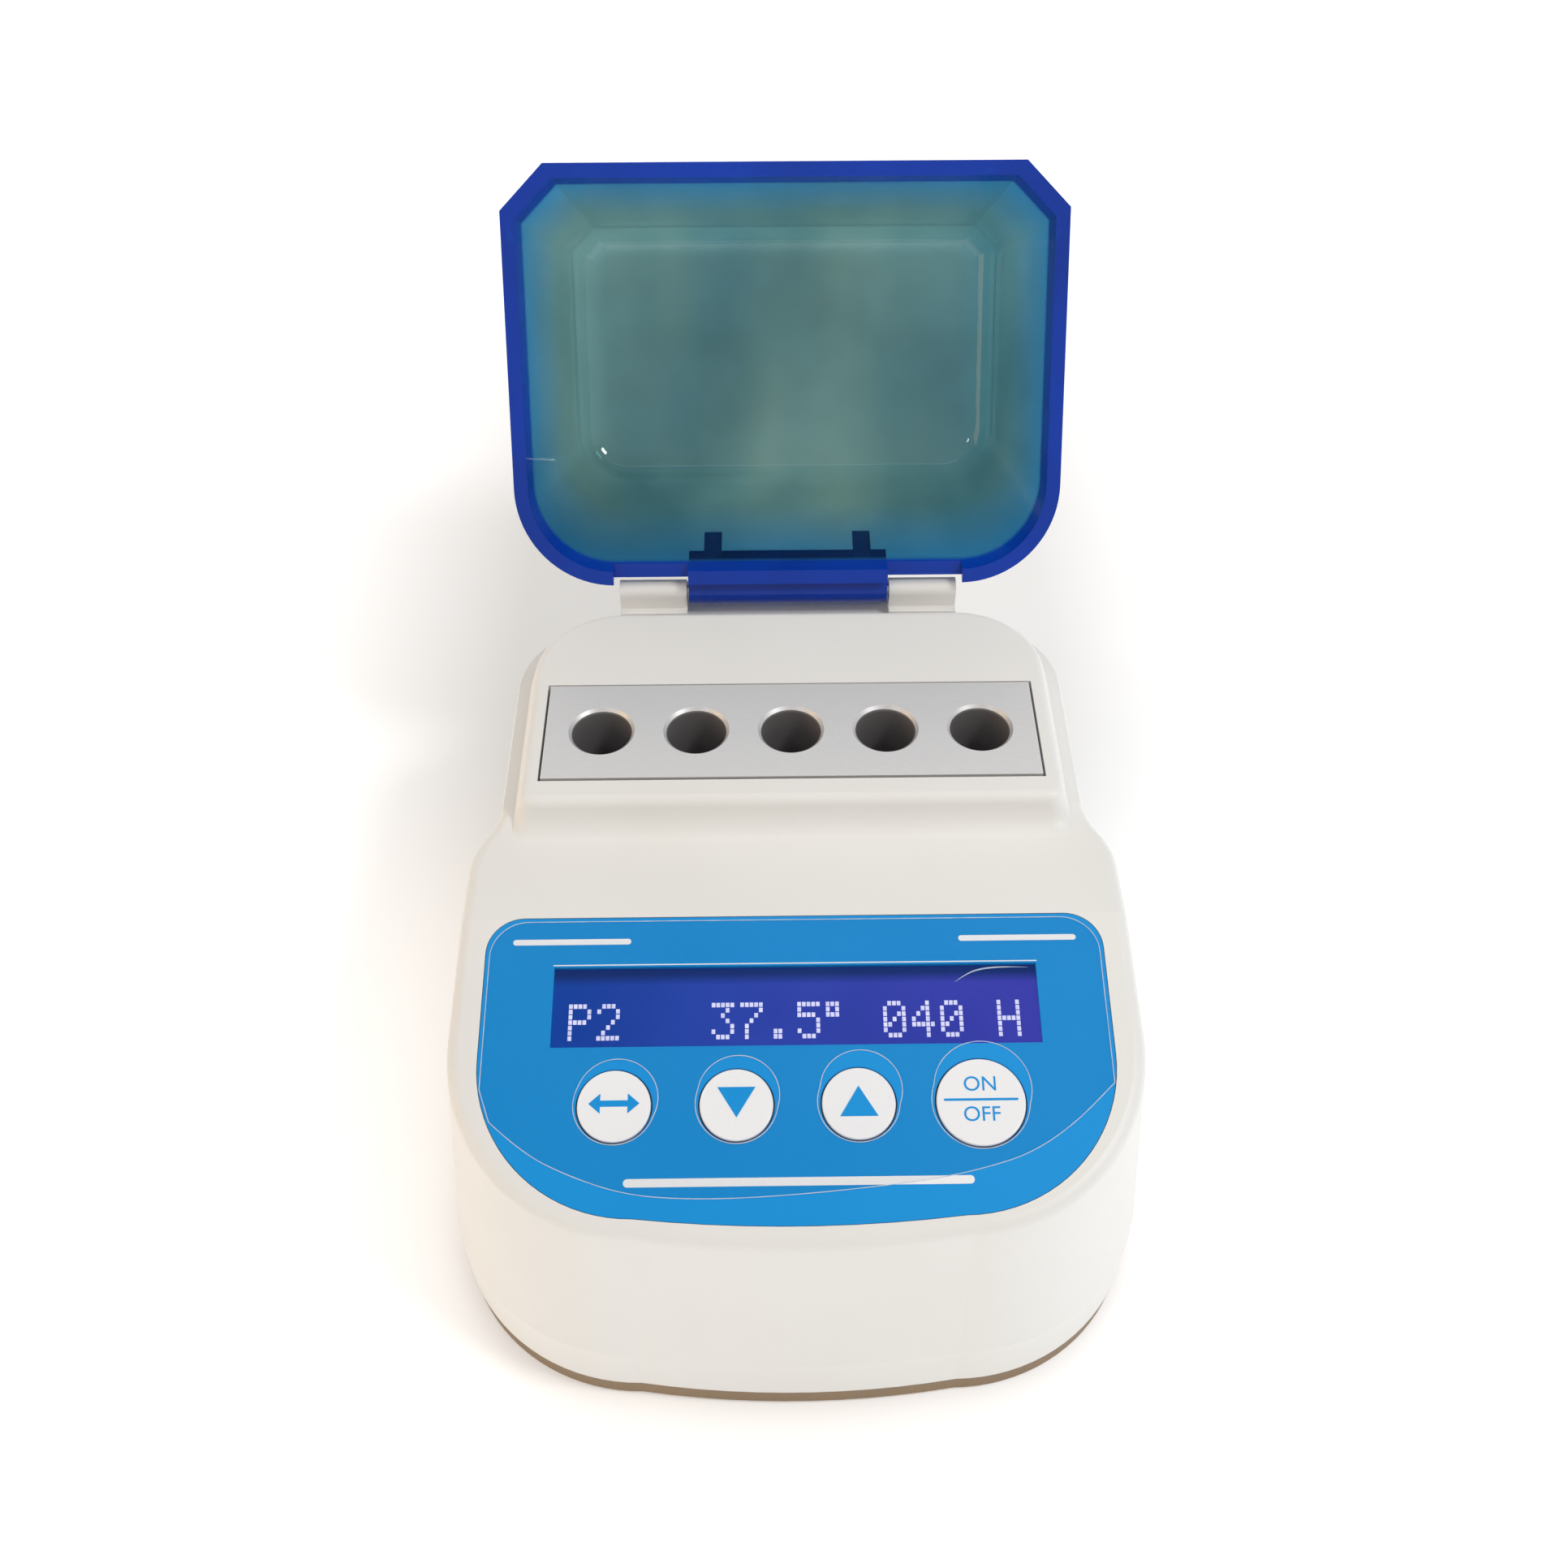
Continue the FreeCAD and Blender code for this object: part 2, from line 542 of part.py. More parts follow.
def feet_and_screws():
    screws = []
    low = size("tray_bottom")
    for spot in ("front", "rear"):
        for side, hand in ((-1, "left"), (1, "right")):
            body = new_body("Rest%s%s" % (spot.title(), hand.title()))
            profile = sketch_on(body, "XZ_Plane")
            half, tall = size("rest_diameter") / 2, size("rest_height")
            add_polygon(profile, [(0, 0), (half - 1.4, 0), (half - 0.4, low - 0.2), (half, low),
                                  (half, tall), (0, tall)])
            turn = body.newObject("PartDesign::Revolution", body.Name + "Turn")
            turn.Profile = profile
            turn.ReferenceAxis = (profile, ["V_Axis"])
            turn.Angle = 360.0
            body.Placement.Base = vec(side * size("rest_x"), size("rest_" + spot), 0)
            node(body, "foot_%s_%s" % (spot, hand))
            place = (side * size("boss_%s_x" % spot), size("boss_%s_y" % spot))
            head = rod("CaseScrewHead", "head_diameter", size("head_height"), place + (low + 0.1,))
            shank = rod("CaseScrewShank", "shank_diameter", size("shank_length"),
                        place + (low + size("head_height"),))
            screws.append(fuse("CaseScrew", [head, shank]))
    node(group("CaseScrews", screws), "case_screws")


def heating_block():
    # the drilled block, and the plate under it that closes the wells and takes the probe
    body = new_body("HeatingBlock")
    top = DECK + size("block_proud")
    base = sketch_on(body, height=top)
    add_rectangle(base, "block_width", "block_depth", 0, BLOCK_Y)
    pad(body, base, "well_depth", reverse=True)
    wells = sketch_on(body, height=top)
    for index in range(5):
        add_circle(wells, (index - 2) * size("well_pitch"), BLOCK_Y, "well_diameter")
    drilled = pocket(body, wells)
    fillet_edges(body, drilled, "well_chamfer",
                 lambda edge: level_edge(top)(edge) and isinstance(edge.Curve, Part.Circle),
                 "PartDesign::Chamfer")
    node(body, "heating_block")
    plate = box("SpreaderPlate", size("block_width"), size("block_depth"), size("spreader_height"),
                (0, BLOCK_Y, BLOCK_BOTTOM))
    bind(plate, Length="block_width", Width="block_depth", Height="spreader_height")
    probe = rod("ProbeBore", size("probe_diameter") + 0.1, PROBE_PROUD + PROBE_DEPTH + 0.5, PROBE_END, X_AXIS)
    node(cut("Spreader", plate, [probe]), "heat_spreader")


def block_surround():
    # heater, insulation, steel cradle, probe and thermal cut-out round the block
    width, depth, mat = size("block_width"), size("block_depth"), size("heater_height")
    heater = box("Heater", width - 6, depth - 4, mat, (0, BLOCK_Y, BLOCK_BOTTOM - mat))
    node(heater, "heater_plate")
    low = BLOCK_BOTTOM - mat - size("wool_under")
    wool_width, wool_depth = width + 2 * size("wool_end"), depth + 2 * size("wool_side")
    wool = box("Wool", wool_width, wool_depth, CAVITY_TOP - 0.2 - low, (0, BLOCK_Y, low))
    bay = box("WoolBay", width + size("block_gap"), depth + size("block_gap"), DECK,
              (0, BLOCK_Y, BLOCK_BOTTOM - mat))
    probe_hole = rod("WoolProbe", size("probe_diameter") + 1, PROBE_PROUD + PROBE_DEPTH, PROBE_END, X_AXIS)
    seat = (size("cutout_x"), BLOCK_Y - depth / 2, size("cutout_z"))
    toward_front = vec(0, -1, 0)
    cutout_hole = rod("WoolCutout", size("cutout_diameter") + 1, 2 * size("wool_side"), seat, toward_front)
    node(cut("Insulation", wool, [bay, probe_hole, cutout_hole]), "block_insulation")
    sheet = size("cradle_sheet")
    floor = box("CradleFloor", wool_width, wool_depth + 2 * sheet, sheet, (0, BLOCK_Y, low - sheet))
    walls = [box("CradleWall", width - 20, sheet, size("cradle_wall"),
                 (0, BLOCK_Y + side * (wool_depth + sheet) / 2, low - sheet)) for side in (-1, 1)]
    node(fuse("Cradle", [floor] + walls), "block_cradle")
    posts = []
    for x_side in (-1, 1):
        for y_side in (-1, 1):
            foot = (x_side * size("cradle_post_x"), BLOCK_Y + y_side * size("cradle_post_y"), TRAY_FLOOR)
            posts.append(rod("CradlePost", "cradle_post", low - sheet - TRAY_FLOOR, foot))
    node(group("CradlePosts", posts), "cradle_posts")
    node(rod("Probe", "probe_diameter", PROBE_PROUD + PROBE_DEPTH, PROBE_END, X_AXIS), "temperature_probe")
    can = rod("CutoutCan", "cutout_diameter", size("cutout_height"), seat, toward_front)
    cap_seat = (seat[0], seat[1] - size("cutout_height"), seat[2])
    cap = rod("CutoutCap", "cutout_cap", size("cutout_cap_height"), cap_seat, toward_front)
    tab_y = cap_seat[1] - size("tab_length")
    tabs = [box("CutoutTab", size("tab_width"), size("tab_length"), size("tab_sheet"),
                (seat[0] + side * 0.8 * size("tab_width"), tab_y, seat[2] - size("tab_sheet") / 2))
            for side in (-1, 1)]
    node(fuse("Cutout", [can, cap] + tabs), "thermal_cutout")


def panel_overlay():
    body = new_body("PanelOverlay")
    face = sketch_on(body, height=-size("panel_recess"))
    add_path(face, panel_outline(0.15))
    pad(body, face, "panel_thickness")
    openings = sketch_on(body, height=0.5)
    window_middle = -size("window_top") - size("window_height") / 2
    add_rectangle(openings, "window_width", "window_height", 0, window_middle)
    for x, width in key_places():
        alias = "key_diameter" if width == size("key_diameter") else "start_key_diameter"
        index = openings.addGeometry(Part.Circle(vec(x, -size("key_row")), Z_AXIS, width / 2), False)
        number = openings.addConstraint(Sketcher.Constraint("Diameter", index, width))
        openings.setExpression("Constraints[%d]" % number, "dims.%s + 2 * dims.key_gap" % alias)
    pocket(body, openings, 3.0)
    body.Placement = PANEL
    return node(body, "panel_overlay")


def keys():
    flange, sole = size("key_flange"), size("key_flange_height")
    seat = -size("panel_recess") - CASE_WALL - 0.3
    edge = size("key_round")
    for (x, width), name in zip(key_places(), ("menu", "down", "up", "start")):
        body = new_body("Key" + name.title())
        profile = sketch_on(body, "XZ_Plane")
        half, top = width / 2, size("key_proud")
        add_path(profile, [line((0, seat - sole), (half + flange, seat - sole)),
                           line((half + flange, seat - sole), (half + flange, seat)),
                           line((half + flange, seat), (half, seat)),
                           line((half, seat), (half, top - edge)),
                           corner_arc((half - edge, top - edge), edge, 0, 90),
                           line((half - edge, top), (0, top)),
                           line((0, top), (0, seat - sole))])
        turn = body.newObject("PartDesign::Revolution", body.Name + "Turn")
        turn.Profile = profile
        turn.ReferenceAxis = (profile, ["V_Axis"])
        turn.Angle = 360.0
        spot = FreeCAD.Placement(vec(x, -size("key_row"), 0), FreeCAD.Rotation())
        body.Placement = PANEL.multiply(spot)
        node(body, "key_" + name)


def display():
    # character display whose glass stands up into the window, and the board with the key switches
    window_w, window_h = size("window_width"), size("window_height")
    middle = -size("window_top") - window_h / 2
    front = -size("panel_recess") - CASE_WALL - 0.1
    seat_w, seat_h, deep = window_w + 5, window_h + 3, size("display_depth")
    frame = box("DisplayRim", seat_w + 4, seat_h + 1.2, deep, (0, middle, front - deep), PANEL)
    sight = box("DisplaySight", window_w + 1.4, window_h + 1.2, 2 * deep, (0, middle, front - deep), PANEL)
    seat = box("DisplaySeat", seat_w + 0.4, seat_h + 0.4, deep - size("display_lip"),
               (0, middle, front - deep), PANEL)
    node(cut("DisplayFrame", frame, [sight, seat]), "display_frame")
    light_back = front - deep + 0.1
    glass_back = light_back + size("backlight_height") + 0.1
    glass_front = -size("panel_recess") - 0.2
    glass = box("DisplayGlass", window_w + 0.5, window_h + 0.5, glass_front - glass_back,
                (0, middle, glass_back), PANEL)
    node(glass, "display_glass")
    light = box("Backlight", seat_w - 1, seat_h - 1, size("backlight_height"), (0, middle, light_back), PANEL)
    node(light, "display_backlight")
    board_front = front - deep - 0.1
    sheet = size("board_thickness")
    node(box("DisplayBoard", size("display_board_width"), size("display_board_depth"), sheet,
             (0, middle, board_front - sheet), PANEL), "display_board")
    row = -size("key_row")
    node(box("KeyBoard", size("key_board_width"), size("key_board_depth"), sheet,
             (0, row - size("key_board_drop"), board_front - sheet), PANEL), "key_board")
    switches = []
    tall = size("switch_can_height")
    plunger_top = front - 0.2 - size("key_flange_height") - size("key_travel") - size("plunger_gap")
    for x, width in key_places():
        can = box("SwitchCan", size("switch_can"), size("switch_can"), tall, (x, row, board_front), PANEL)
        plunger = rod("SwitchPlunger", "plunger_diameter", plunger_top - board_front - tall,
                      (x, row, board_front + tall), frame=PANEL)
        switches.append(fuse("TactSwitch", [can, plunger]))
    node(group("TactSwitches", switches), "key_switches")


def supply():
    # mains board on four posts in the front of the tray
    middle, high = size("supply_y"), TRAY_FLOOR + size("standoff_height")
    node(box("SupplyBoard", size("supply_width"), size("supply_depth"), size("board_thickness"),
             (0, middle, high)), "supply_board")
    posts = []
    for x_side in (-1, 1):
        for y_side in (-1, 1):
            foot = (x_side * size("standoff_x"), middle + y_side * size("standoff_y"), TRAY_FLOOR)
            posts.append(rod("SupplyPost", "standoff_diameter", size("standoff_height"), foot))
    node(group("SupplyPosts", posts), "supply_posts")
    top = high + size("board_thickness")
    node(box("Transformer", size("transformer_width"), size("transformer_depth"), size("transformer_height"),
             (-18, middle + 2, top)), "supply_transformer")
    node(rod("Capacitor", "capacitor_diameter", size("capacitor_height"), (14, middle - 8, top)),
         "supply_capacitor")
    node(box("Triac", size("triac_width"), size("triac_depth"), size("triac_height"), (26, middle + 12, top)),
         "heater_triac")


def rear_fitting(name, kind, x, wall, play):
    # a flanged box let into the rear wall, still solid
    height = size("fitting_z")
    flange_depth, flange_height = size(kind + "_flange"), size(kind + "_flange_height")
    flange = box(name + "Flange", size(kind + "_flange_width"), flange_depth, flange_height,
                 (x, wall + flange_depth / 2, height - flange_height / 2))
    shell_height, deep = size(kind + "_height") - play, size(kind + "_depth")
    shell = box(name + "Shell", size(kind + "_width") - play, deep, shell_height,
                (x, wall - deep / 2, height - shell_height / 2))
    return fuse(name + "Solid", [flange, shell])


def power_fittings():
    wall, height, play = size("ledge_rear"), size("fitting_z"), size("fitting_play")
    x = size("inlet_x")
    solid = rear_fitting("Inlet", "inlet", x, wall, play)
    face, deep = wall + size("inlet_flange"), size("mouth_depth")
    mouth = box("InletMouth", size("mouth_width"), deep + 1, size("mouth_height"),
                (x, face - (deep - 1) / 2, height - size("mouth_height") / 2))
    node(cut("Inlet", solid, [mouth]), "power_inlet")
    apart, long = size("blade_pitch") / 2, size("blade_length")
    pins = [box("InletPin", size("blade_width"), long, size("blade_height"),
                (x + across, face - deep + long / 2, height + above - size("blade_height") / 2))
            for across, above in ((-apart, -2.5), (apart, -2.5), (0, 3.5))]
    node(group("InletPins", pins), "inlet_pins")
    x = size("switch_x")
    solid = rear_fitting("Switch", "switch", x, wall, play)
    face, deep = wall + size("switch_flange"), size("rocker_well_depth")
    well = box("SwitchWell", size("rocker_well_width"), deep + 1, size("rocker_well_height"),
               (x, face - (deep - 1) / 2, height - size("rocker_well_height") / 2))
    node(cut("SwitchBody", solid, [well]), "power_switch_body")
    rocker = new_body("PowerRocker")
    side = sketch_on(rocker, "YZ_Plane")
    add_polygon(side, [(2.4, 0), (3.6, 7.0), (-2.4, 6.4), (-4.6, 0), (-2.4, -6.4), (3.6, -7.0)])
    pad(rocker, side, "rocker_width", both=True)
    rocker.Placement = FreeCAD.Placement(vec(x, wall, height),
                                         FreeCAD.Rotation(X_AXIS, -size("rocker_throw") / 2))
    node(rocker, "power_rocker")


def cover():
    rim, top = size("rim_height"), size("rim_height") + size("dome_height")

    def half_shell(name, rim_inset, dome_inset, low, high, radius):
        body = new_body(name)
        rim_plan = cover_outline(size("cover_half") - rim_inset, size("cover_front") + rim_inset,
                                 size("cover_rear") - rim_inset, size("cover_rear_corner") - rim_inset,
                                 size("cover_chamfer") - 0.4 * rim_inset)
        dome_plan = cover_outline(size("dome_half") - dome_inset, size("dome_front") + dome_inset,
                                  size("dome_rear") - dome_inset, size("dome_corner") - dome_inset,
                                  size("dome_chamfer") - 0.4 * dome_inset)
        loft(body, [(high, dome_plan), (low, rim_plan)])
        fillet_edges(body, body.Tip, radius, level_edge(high))
        return body

    wall = size("dome_wall")
    outer = half_shell("CoverOuter", 0.0, 0.0, rim, top, "dome_edge_radius")
    inner = half_shell("CoverInner", size("rim_band"), wall, rim - 0.01, top - wall, "dome_edge_radius")
    axis_y, axis_z = size("hinge_y"), size("hinge_z")
    half_barrel = size("barrel_length") / 2
    notch_end = size("pedestal_half") + 1.1
    notches = [box("CoverNotch", notch_end - half_barrel, 20, size("notch_depth") + 1,
                   (side * (notch_end + half_barrel) / 2, size("cover_rear"), rim - 1)) for side in (-1, 1)]
    shell = cut("CoverShell", outer, [inner] + notches)
    barrel = rod("CoverBarrel", "barrel_diameter", size("barrel_length"),
                 (-half_barrel, axis_y, axis_z), X_AXIS)
    bar = size("barrel_diameter") / 2
    lean = (size("cover_rear") - size("dome_rear")) / size("dome_height")

    def in_wall(height):
        # middle of the sloping rear wall at a height
        return size("cover_rear") - lean * (height - rim) - wall / 2, height

    web = new_body("CoverWeb")
    side = sketch_on(web, "YZ_Plane")
    add_polygon(side, [in_wall(axis_z - bar), (axis_y, axis_z - bar), (axis_y, axis_z + bar),
                       in_wall(axis_z + bar + 1.5)])
    pad(web, side, size("barrel_length"), both=True)
    gussets = []
    for hand in (-1, 1):
        gusset = new_body("CoverGusset")
        fin = sketch_on(gusset, "YZ_Plane", hand * size("gusset_pitch") / 2)
        add_polygon(fin, [in_wall(axis_z), (axis_y, axis_z + bar - 0.4), (axis_y - 1.5, axis_z + bar + 1),
                          in_wall(axis_z + bar + 10)])
        pad(gusset, fin, "gusset_width", both=True)
        gussets.append(gusset)
    bore = rod("CoverBore", size("pin_diameter") + 2 * size("pin_clearance"), size("pin_length"),
               (-size("pin_length") / 2, axis_y, axis_z), X_AXIS)
    closed = cut("CoverClosed", fuse("CoverSolid", [shell, barrel, web] + gussets), [bore])
    doc.recompute()
    swing = FreeCAD.Placement(vec(0, 0, 0), FreeCAD.Rotation(X_AXIS, -size("hinge_open")),
                              vec(0, axis_y, axis_z))
    closed.Placement = swing
    return node(closed, "cover")


def hinge_pin():
    return node(rod("HingePin", "pin_diameter", size("pin_length"),
                    (-size("pin_length") / 2, size("hinge_y"), size("hinge_z")), X_AXIS), "hinge_pin")


def centre_on_table():
    # moves every piece so that the origin is under the middle of the open heater
    whole = FreeCAD.BoundBox()
    for item in NODES:
        whole.add(item.Shape.optimalBoundingBox())
    shift = FreeCAD.Placement(vec(0, -(whole.YMin + whole.YMax) / 2, 0), FreeCAD.Rotation())
    for item in NODES:
        item.Placement = shift.multiply(item.Placement)
    print("moved in Y by %.4f" % shift.Base.y)


def build():
    for piece in (upper_housing, lower_housing, feet_and_screws, heating_block, block_surround,
                  panel_overlay, keys, display, supply, power_fittings, cover, hinge_pin):
        piece()
        doc.recompute()
    troubled = [item.Name for item in doc.Objects if "Invalid" in item.State or "Error" in item.State]
    for item in NODES:
        if item.Shape.isNull() or not item.Shape.isValid():
            troubled.append(item.Label)
    if troubled:
        raise RuntimeError("not built: " + ", ".join(troubled))
    centre_on_table()
    os.makedirs("parts", exist_ok=True)
    for item in NODES:
        item.Shape.exportStep("parts/%s.step" % item.Label)
        print("%-22s solids %d  volume %.0f" % (item.Label, len(item.Shape.Solids), item.Shape.Volume))


build()
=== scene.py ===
import bmesh
import bpy
import json
import math
from mathutils import Matrix, Vector


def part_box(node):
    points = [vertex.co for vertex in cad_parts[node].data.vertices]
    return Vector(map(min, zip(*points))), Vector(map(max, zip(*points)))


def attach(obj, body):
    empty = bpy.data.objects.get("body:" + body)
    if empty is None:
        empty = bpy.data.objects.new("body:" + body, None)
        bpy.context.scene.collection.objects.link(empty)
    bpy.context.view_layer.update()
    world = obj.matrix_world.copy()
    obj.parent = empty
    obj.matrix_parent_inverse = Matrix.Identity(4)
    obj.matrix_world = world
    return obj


# Dry block heater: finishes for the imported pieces, the print on its panel and keys, the display's
# characters, the film on the panel and the studio. Metres, +X right, +Y back, +Z up.

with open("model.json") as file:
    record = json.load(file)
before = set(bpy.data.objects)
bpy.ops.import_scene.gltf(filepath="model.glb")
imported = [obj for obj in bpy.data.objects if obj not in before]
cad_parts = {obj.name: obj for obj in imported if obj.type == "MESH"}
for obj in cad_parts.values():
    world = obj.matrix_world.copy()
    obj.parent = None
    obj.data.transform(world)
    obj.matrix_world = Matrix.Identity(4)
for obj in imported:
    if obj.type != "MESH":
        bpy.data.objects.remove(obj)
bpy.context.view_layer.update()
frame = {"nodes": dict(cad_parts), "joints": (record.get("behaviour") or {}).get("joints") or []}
cadNodes = frame["nodes"]
joints = {joint["name"]: joint for joint in frame["joints"]}
mm = 0.001


# Material helpers

def paint(red, green, blue):
    # screen colour, 0 to 255, as a linear shader colour
    def linear(channel):
        share = channel / 255
        return share / 12.92 if share <= 0.04045 else ((share + 0.055) / 1.055) ** 2.4
    return (linear(red), linear(green), linear(blue), 1.0)


def newMaterial(name, sockets):
    material = bpy.data.materials.new(name)
    material.use_nodes = True
    tree = material.node_tree
    shader = tree.nodes["Principled BSDF"]
    for socket, value in sockets.items():
        shader.inputs[socket].default_value = value
    return material, tree, shader


def addNode(tree, kind, values=None, **settings):
    item = tree.nodes.new(kind)
    for name, value in settings.items():
        setattr(item, name, value)
    for socket, value in (values or {}).items():
        item.inputs[socket].default_value = value
    return item


def objectPoint(tree, stretch=(1, 1, 1), offset=(0, 0, 0)):
    place = addNode(tree, "ShaderNodeTexCoord")
    mapping = addNode(tree, "ShaderNodeMapping", {"Scale": stretch, "Location": offset})
    tree.links.new(place.outputs["Object"], mapping.inputs["Vector"])
    return mapping.outputs["Vector"]


def grain(tree, scale, detail=3.0, rough=0.55, stretch=(1, 1, 1)):
    # noise in object space; scale is in cells per metre
    noise = addNode(tree, "ShaderNodeTexNoise", {"Scale": scale, "Detail": detail, "Roughness": rough})
    tree.links.new(objectPoint(tree, stretch), noise.inputs["Vector"])
    return noise.outputs["Fac"]


def spread(tree, value, low, high, fromLow=0.3, fromHigh=0.7):
    # noise stays near its middle, so its own range is 0.3 to 0.7 unless stated
    ramp = addNode(tree, "ShaderNodeMapRange", {"From Min": fromLow, "From Max": fromHigh,
                                                "To Min": low, "To Max": high})
    tree.links.new(value, ramp.inputs["Value"])
    return ramp.outputs["Result"]


def heightBetween(tree, axis, low, high):
    # 0 to 1 along an axis of the rest pose, from low to high
    reach = addNode(tree, "ShaderNodeVectorMath", operation="DOT_PRODUCT")
    reach.inputs[1].default_value = axis
    place = addNode(tree, "ShaderNodeTexCoord")
    tree.links.new(place.outputs["Object"], reach.inputs[0])
    return spread(tree, reach.outputs["Value"], 0.0, 1.0, low, high)


def multiply(tree, first, second):
    product = addNode(tree, "ShaderNodeMath", operation="MULTIPLY")
    tree.links.new(first, product.inputs[0])
    tree.links.new(second, product.inputs[1])
    return product.outputs["Value"]


def colorBlend(tree, share, first, second):
    # first and second are colours or sockets
    blend = addNode(tree, "ShaderNodeMix", data_type="RGBA")
    tree.links.new(share, blend.inputs["Factor"])
    for name, color in (("A", first), ("B", second)):
        if isinstance(color, tuple):
            blend.inputs[name].default_value = color
        else:
            tree.links.new(color, blend.inputs[name])
    return blend.outputs["Result"]


def tint(tree, noise, first, second):
    return colorBlend(tree, spread(tree, noise, 0.0, 1.0), first, second)


def cloud(tree, color, scale, detail, dimmest):
    # a colour dimmed here and there, down to its product with dimmest
    patches = tint(tree, grain(tree, scale, detail), paint(255, 255, 255), dimmest)
    product = addNode(tree, "ShaderNodeMix", data_type="RGBA", blend_type="MULTIPLY")
    product.inputs["Factor"].default_value = 1.0
    tree.links.new(color, product.inputs["A"])
    tree.links.new(patches, product.inputs["B"])
    return product.outputs["Result"]


def addBump(tree, shader, height, strength, depth):
    bump = addNode(tree, "ShaderNodeBump", {"Strength": strength, "Distance": depth})
    tree.links.new(height, bump.inputs["Height"])
    tree.links.new(bump.outputs["Normal"], shader.inputs["Normal"])


# Plain plastics, rubber and wool: a fine spark-eroded texture and slight colour drift

mouldLook = {"drift": 24.0, "coatRoughness": 0.25, "smoother": 0.05, "rougher": 0.07,
             "depth": 0.04 * mm}
caseLook = {"color": paint(235, 234, 231), "shade": paint(232, 231, 227), "roughness": 0.42}
# painted shadow: the tray's dark brown copies the shadow band along the foot of the case
trayShadowLook = {"color": paint(142, 116, 82), "shade": paint(130, 106, 76), "roughness": 0.5}
keyLook = {"color": paint(244, 245, 247), "shade": paint(239, 241, 244), "roughness": 0.3,
           "texture": 3600.0, "strength": 0.05, "coat": 0.2}
darkLook = {"color": paint(34, 34, 36), "shade": paint(26, 26, 28), "roughness": 0.42}
rubberLook = {"color": paint(30, 30, 31), "shade": paint(22, 22, 23), "roughness": 0.75,
              "texture": 1400.0, "strength": 0.3}
siliconeLook = {"color": paint(168, 72, 44), "shade": paint(150, 60, 38), "roughness": 0.6,
                "texture": 700.0, "strength": 0.3}
woolLook = {"color": paint(214, 208, 192), "shade": paint(190, 182, 164), "roughness": 0.9,
            "texture": 500.0, "strength": 0.9}


def mouldedPlastic(name, color, shade, roughness, texture=2600.0, strength=0.12, coat=0.0):
    material, tree, shader = newMaterial(name, {"Coat Weight": coat,
                                                "Coat Roughness": mouldLook["coatRoughness"]})
    drift = grain(tree, mouldLook["drift"], detail=2.0)
    tree.links.new(tint(tree, drift, color, shade), shader.inputs["Base Color"])
    fine = grain(tree, texture, detail=2.0, rough=0.6)
    rough = spread(tree, fine, roughness - mouldLook["smoother"], roughness + mouldLook["rougher"])
    tree.links.new(rough, shader.inputs["Roughness"])
    addBump(tree, shader, fine, strength, mouldLook["depth"])
    return material


# Metals: long fine lines along X, as on drawn or milled stock

lineLook = {"scale": 400.0, "along": (1, 60, 60), "smoother": 0.06, "rougher": 0.08, "strength": 0.1,
            "depth": 0.02 * mm}
steelLook = {"color": paint(200, 200, 202), "shade": paint(182, 182, 186), "roughness": 0.28}
brassLook = {"color": paint(206, 176, 104), "shade": paint(190, 158, 90), "roughness": 0.3}
# the darker well colour is painted shade inside the bores, below the block's top face
blockLook = {"plate": paint(230, 229, 228), "streak": paint(216, 215, 215), "well": paint(162, 158, 159),
             "wellFrom": 0.75 * mm, "wellTo": 1.6 * mm, "roughness": 0.42, "metal": 0.6}


def drawnLines(tree, shader, roughness):
    streak = grain(tree, lineLook["scale"], detail=4.0, rough=0.7, stretch=lineLook["along"])
    rough = spread(tree, streak, roughness - lineLook["smoother"], roughness + lineLook["rougher"])
    tree.links.new(rough, shader.inputs["Roughness"])
    addBump(tree, shader, streak, lineLook["strength"], lineLook["depth"])
    return streak


def brushedMetal(name, color, shade, roughness):
    material, tree, shader = newMaterial(name, {"Metallic": 1.0})
    streak = drawnLines(tree, shader, roughness)
    tree.links.new(tint(tree, streak, color, shade), shader.inputs["Base Color"])
    return material


def boredBlock():
    # satin plate over wells, the bores darkened below the top face with painted shade
    material, tree, shader = newMaterial("block_satin", {"Metallic": blockLook["metal"]})
    streak = drawnLines(tree, shader, blockLook["roughness"])
    plate = tint(tree, streak, blockLook["plate"], blockLook["streak"])
    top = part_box("heating_block")[1].z
    # painted shade: darker inside the wells, from a little below the top face downwards
    inWellShade = heightBetween(tree, (0, 0, -1), blockLook["wellFrom"] - top, blockLook["wellTo"] - top)
    tree.links.new(colorBlend(tree, inWellShade, plate, blockLook["well"]), shader.inputs["Base Color"])
    return material


# Panel, display and boards

panelLook = {"color": paint(8, 145, 221), "shade": paint(18, 150, 225), "roughness": 0.4, "specular": 0.2,
             "drift": 14.0, "waves": 160.0, "waveStrength": 0.05, "waveDepth": 0.2 * mm}
# the darker colour along the display's upper edge is painted shadow from the window's recess
glowLook = {"cool": paint(16, 64, 160), "warm": paint(66, 60, 178), "edge": paint(18, 36, 104),
            "shadowFrom": 0.9, "shadowTo": 0.96, "base": paint(6, 7, 24), "roughness": 0.3, "specular": 0.06,
            "strength": 1.0, "clouds": 30.0, "dimmest": paint(222, 220, 236)}
boardLook = {"mask": paint(20, 92, 52), "maskShade": paint(16, 80, 46), "track": paint(44, 128, 74),
             "cells": 160.0, "trackWidth": 0.02, "roughness": 0.3, "coat": 0.3}


def printedFilm():
    # blue back-printed polyester with a satin face
    material, tree, shader = newMaterial("panel_blue", {"Roughness": panelLook["roughness"],
                                                        "Specular IOR Level": panelLook["specular"]})
    drift = grain(tree, panelLook["drift"], detail=2.0)
    tree.links.new(tint(tree, drift, panelLook["color"], panelLook["shade"]), shader.inputs["Base Color"])
    waves = grain(tree, panelLook["waves"], detail=2.0)
    addBump(tree, shader, waves, panelLook["waveStrength"], panelLook["waveDepth"])
    return material


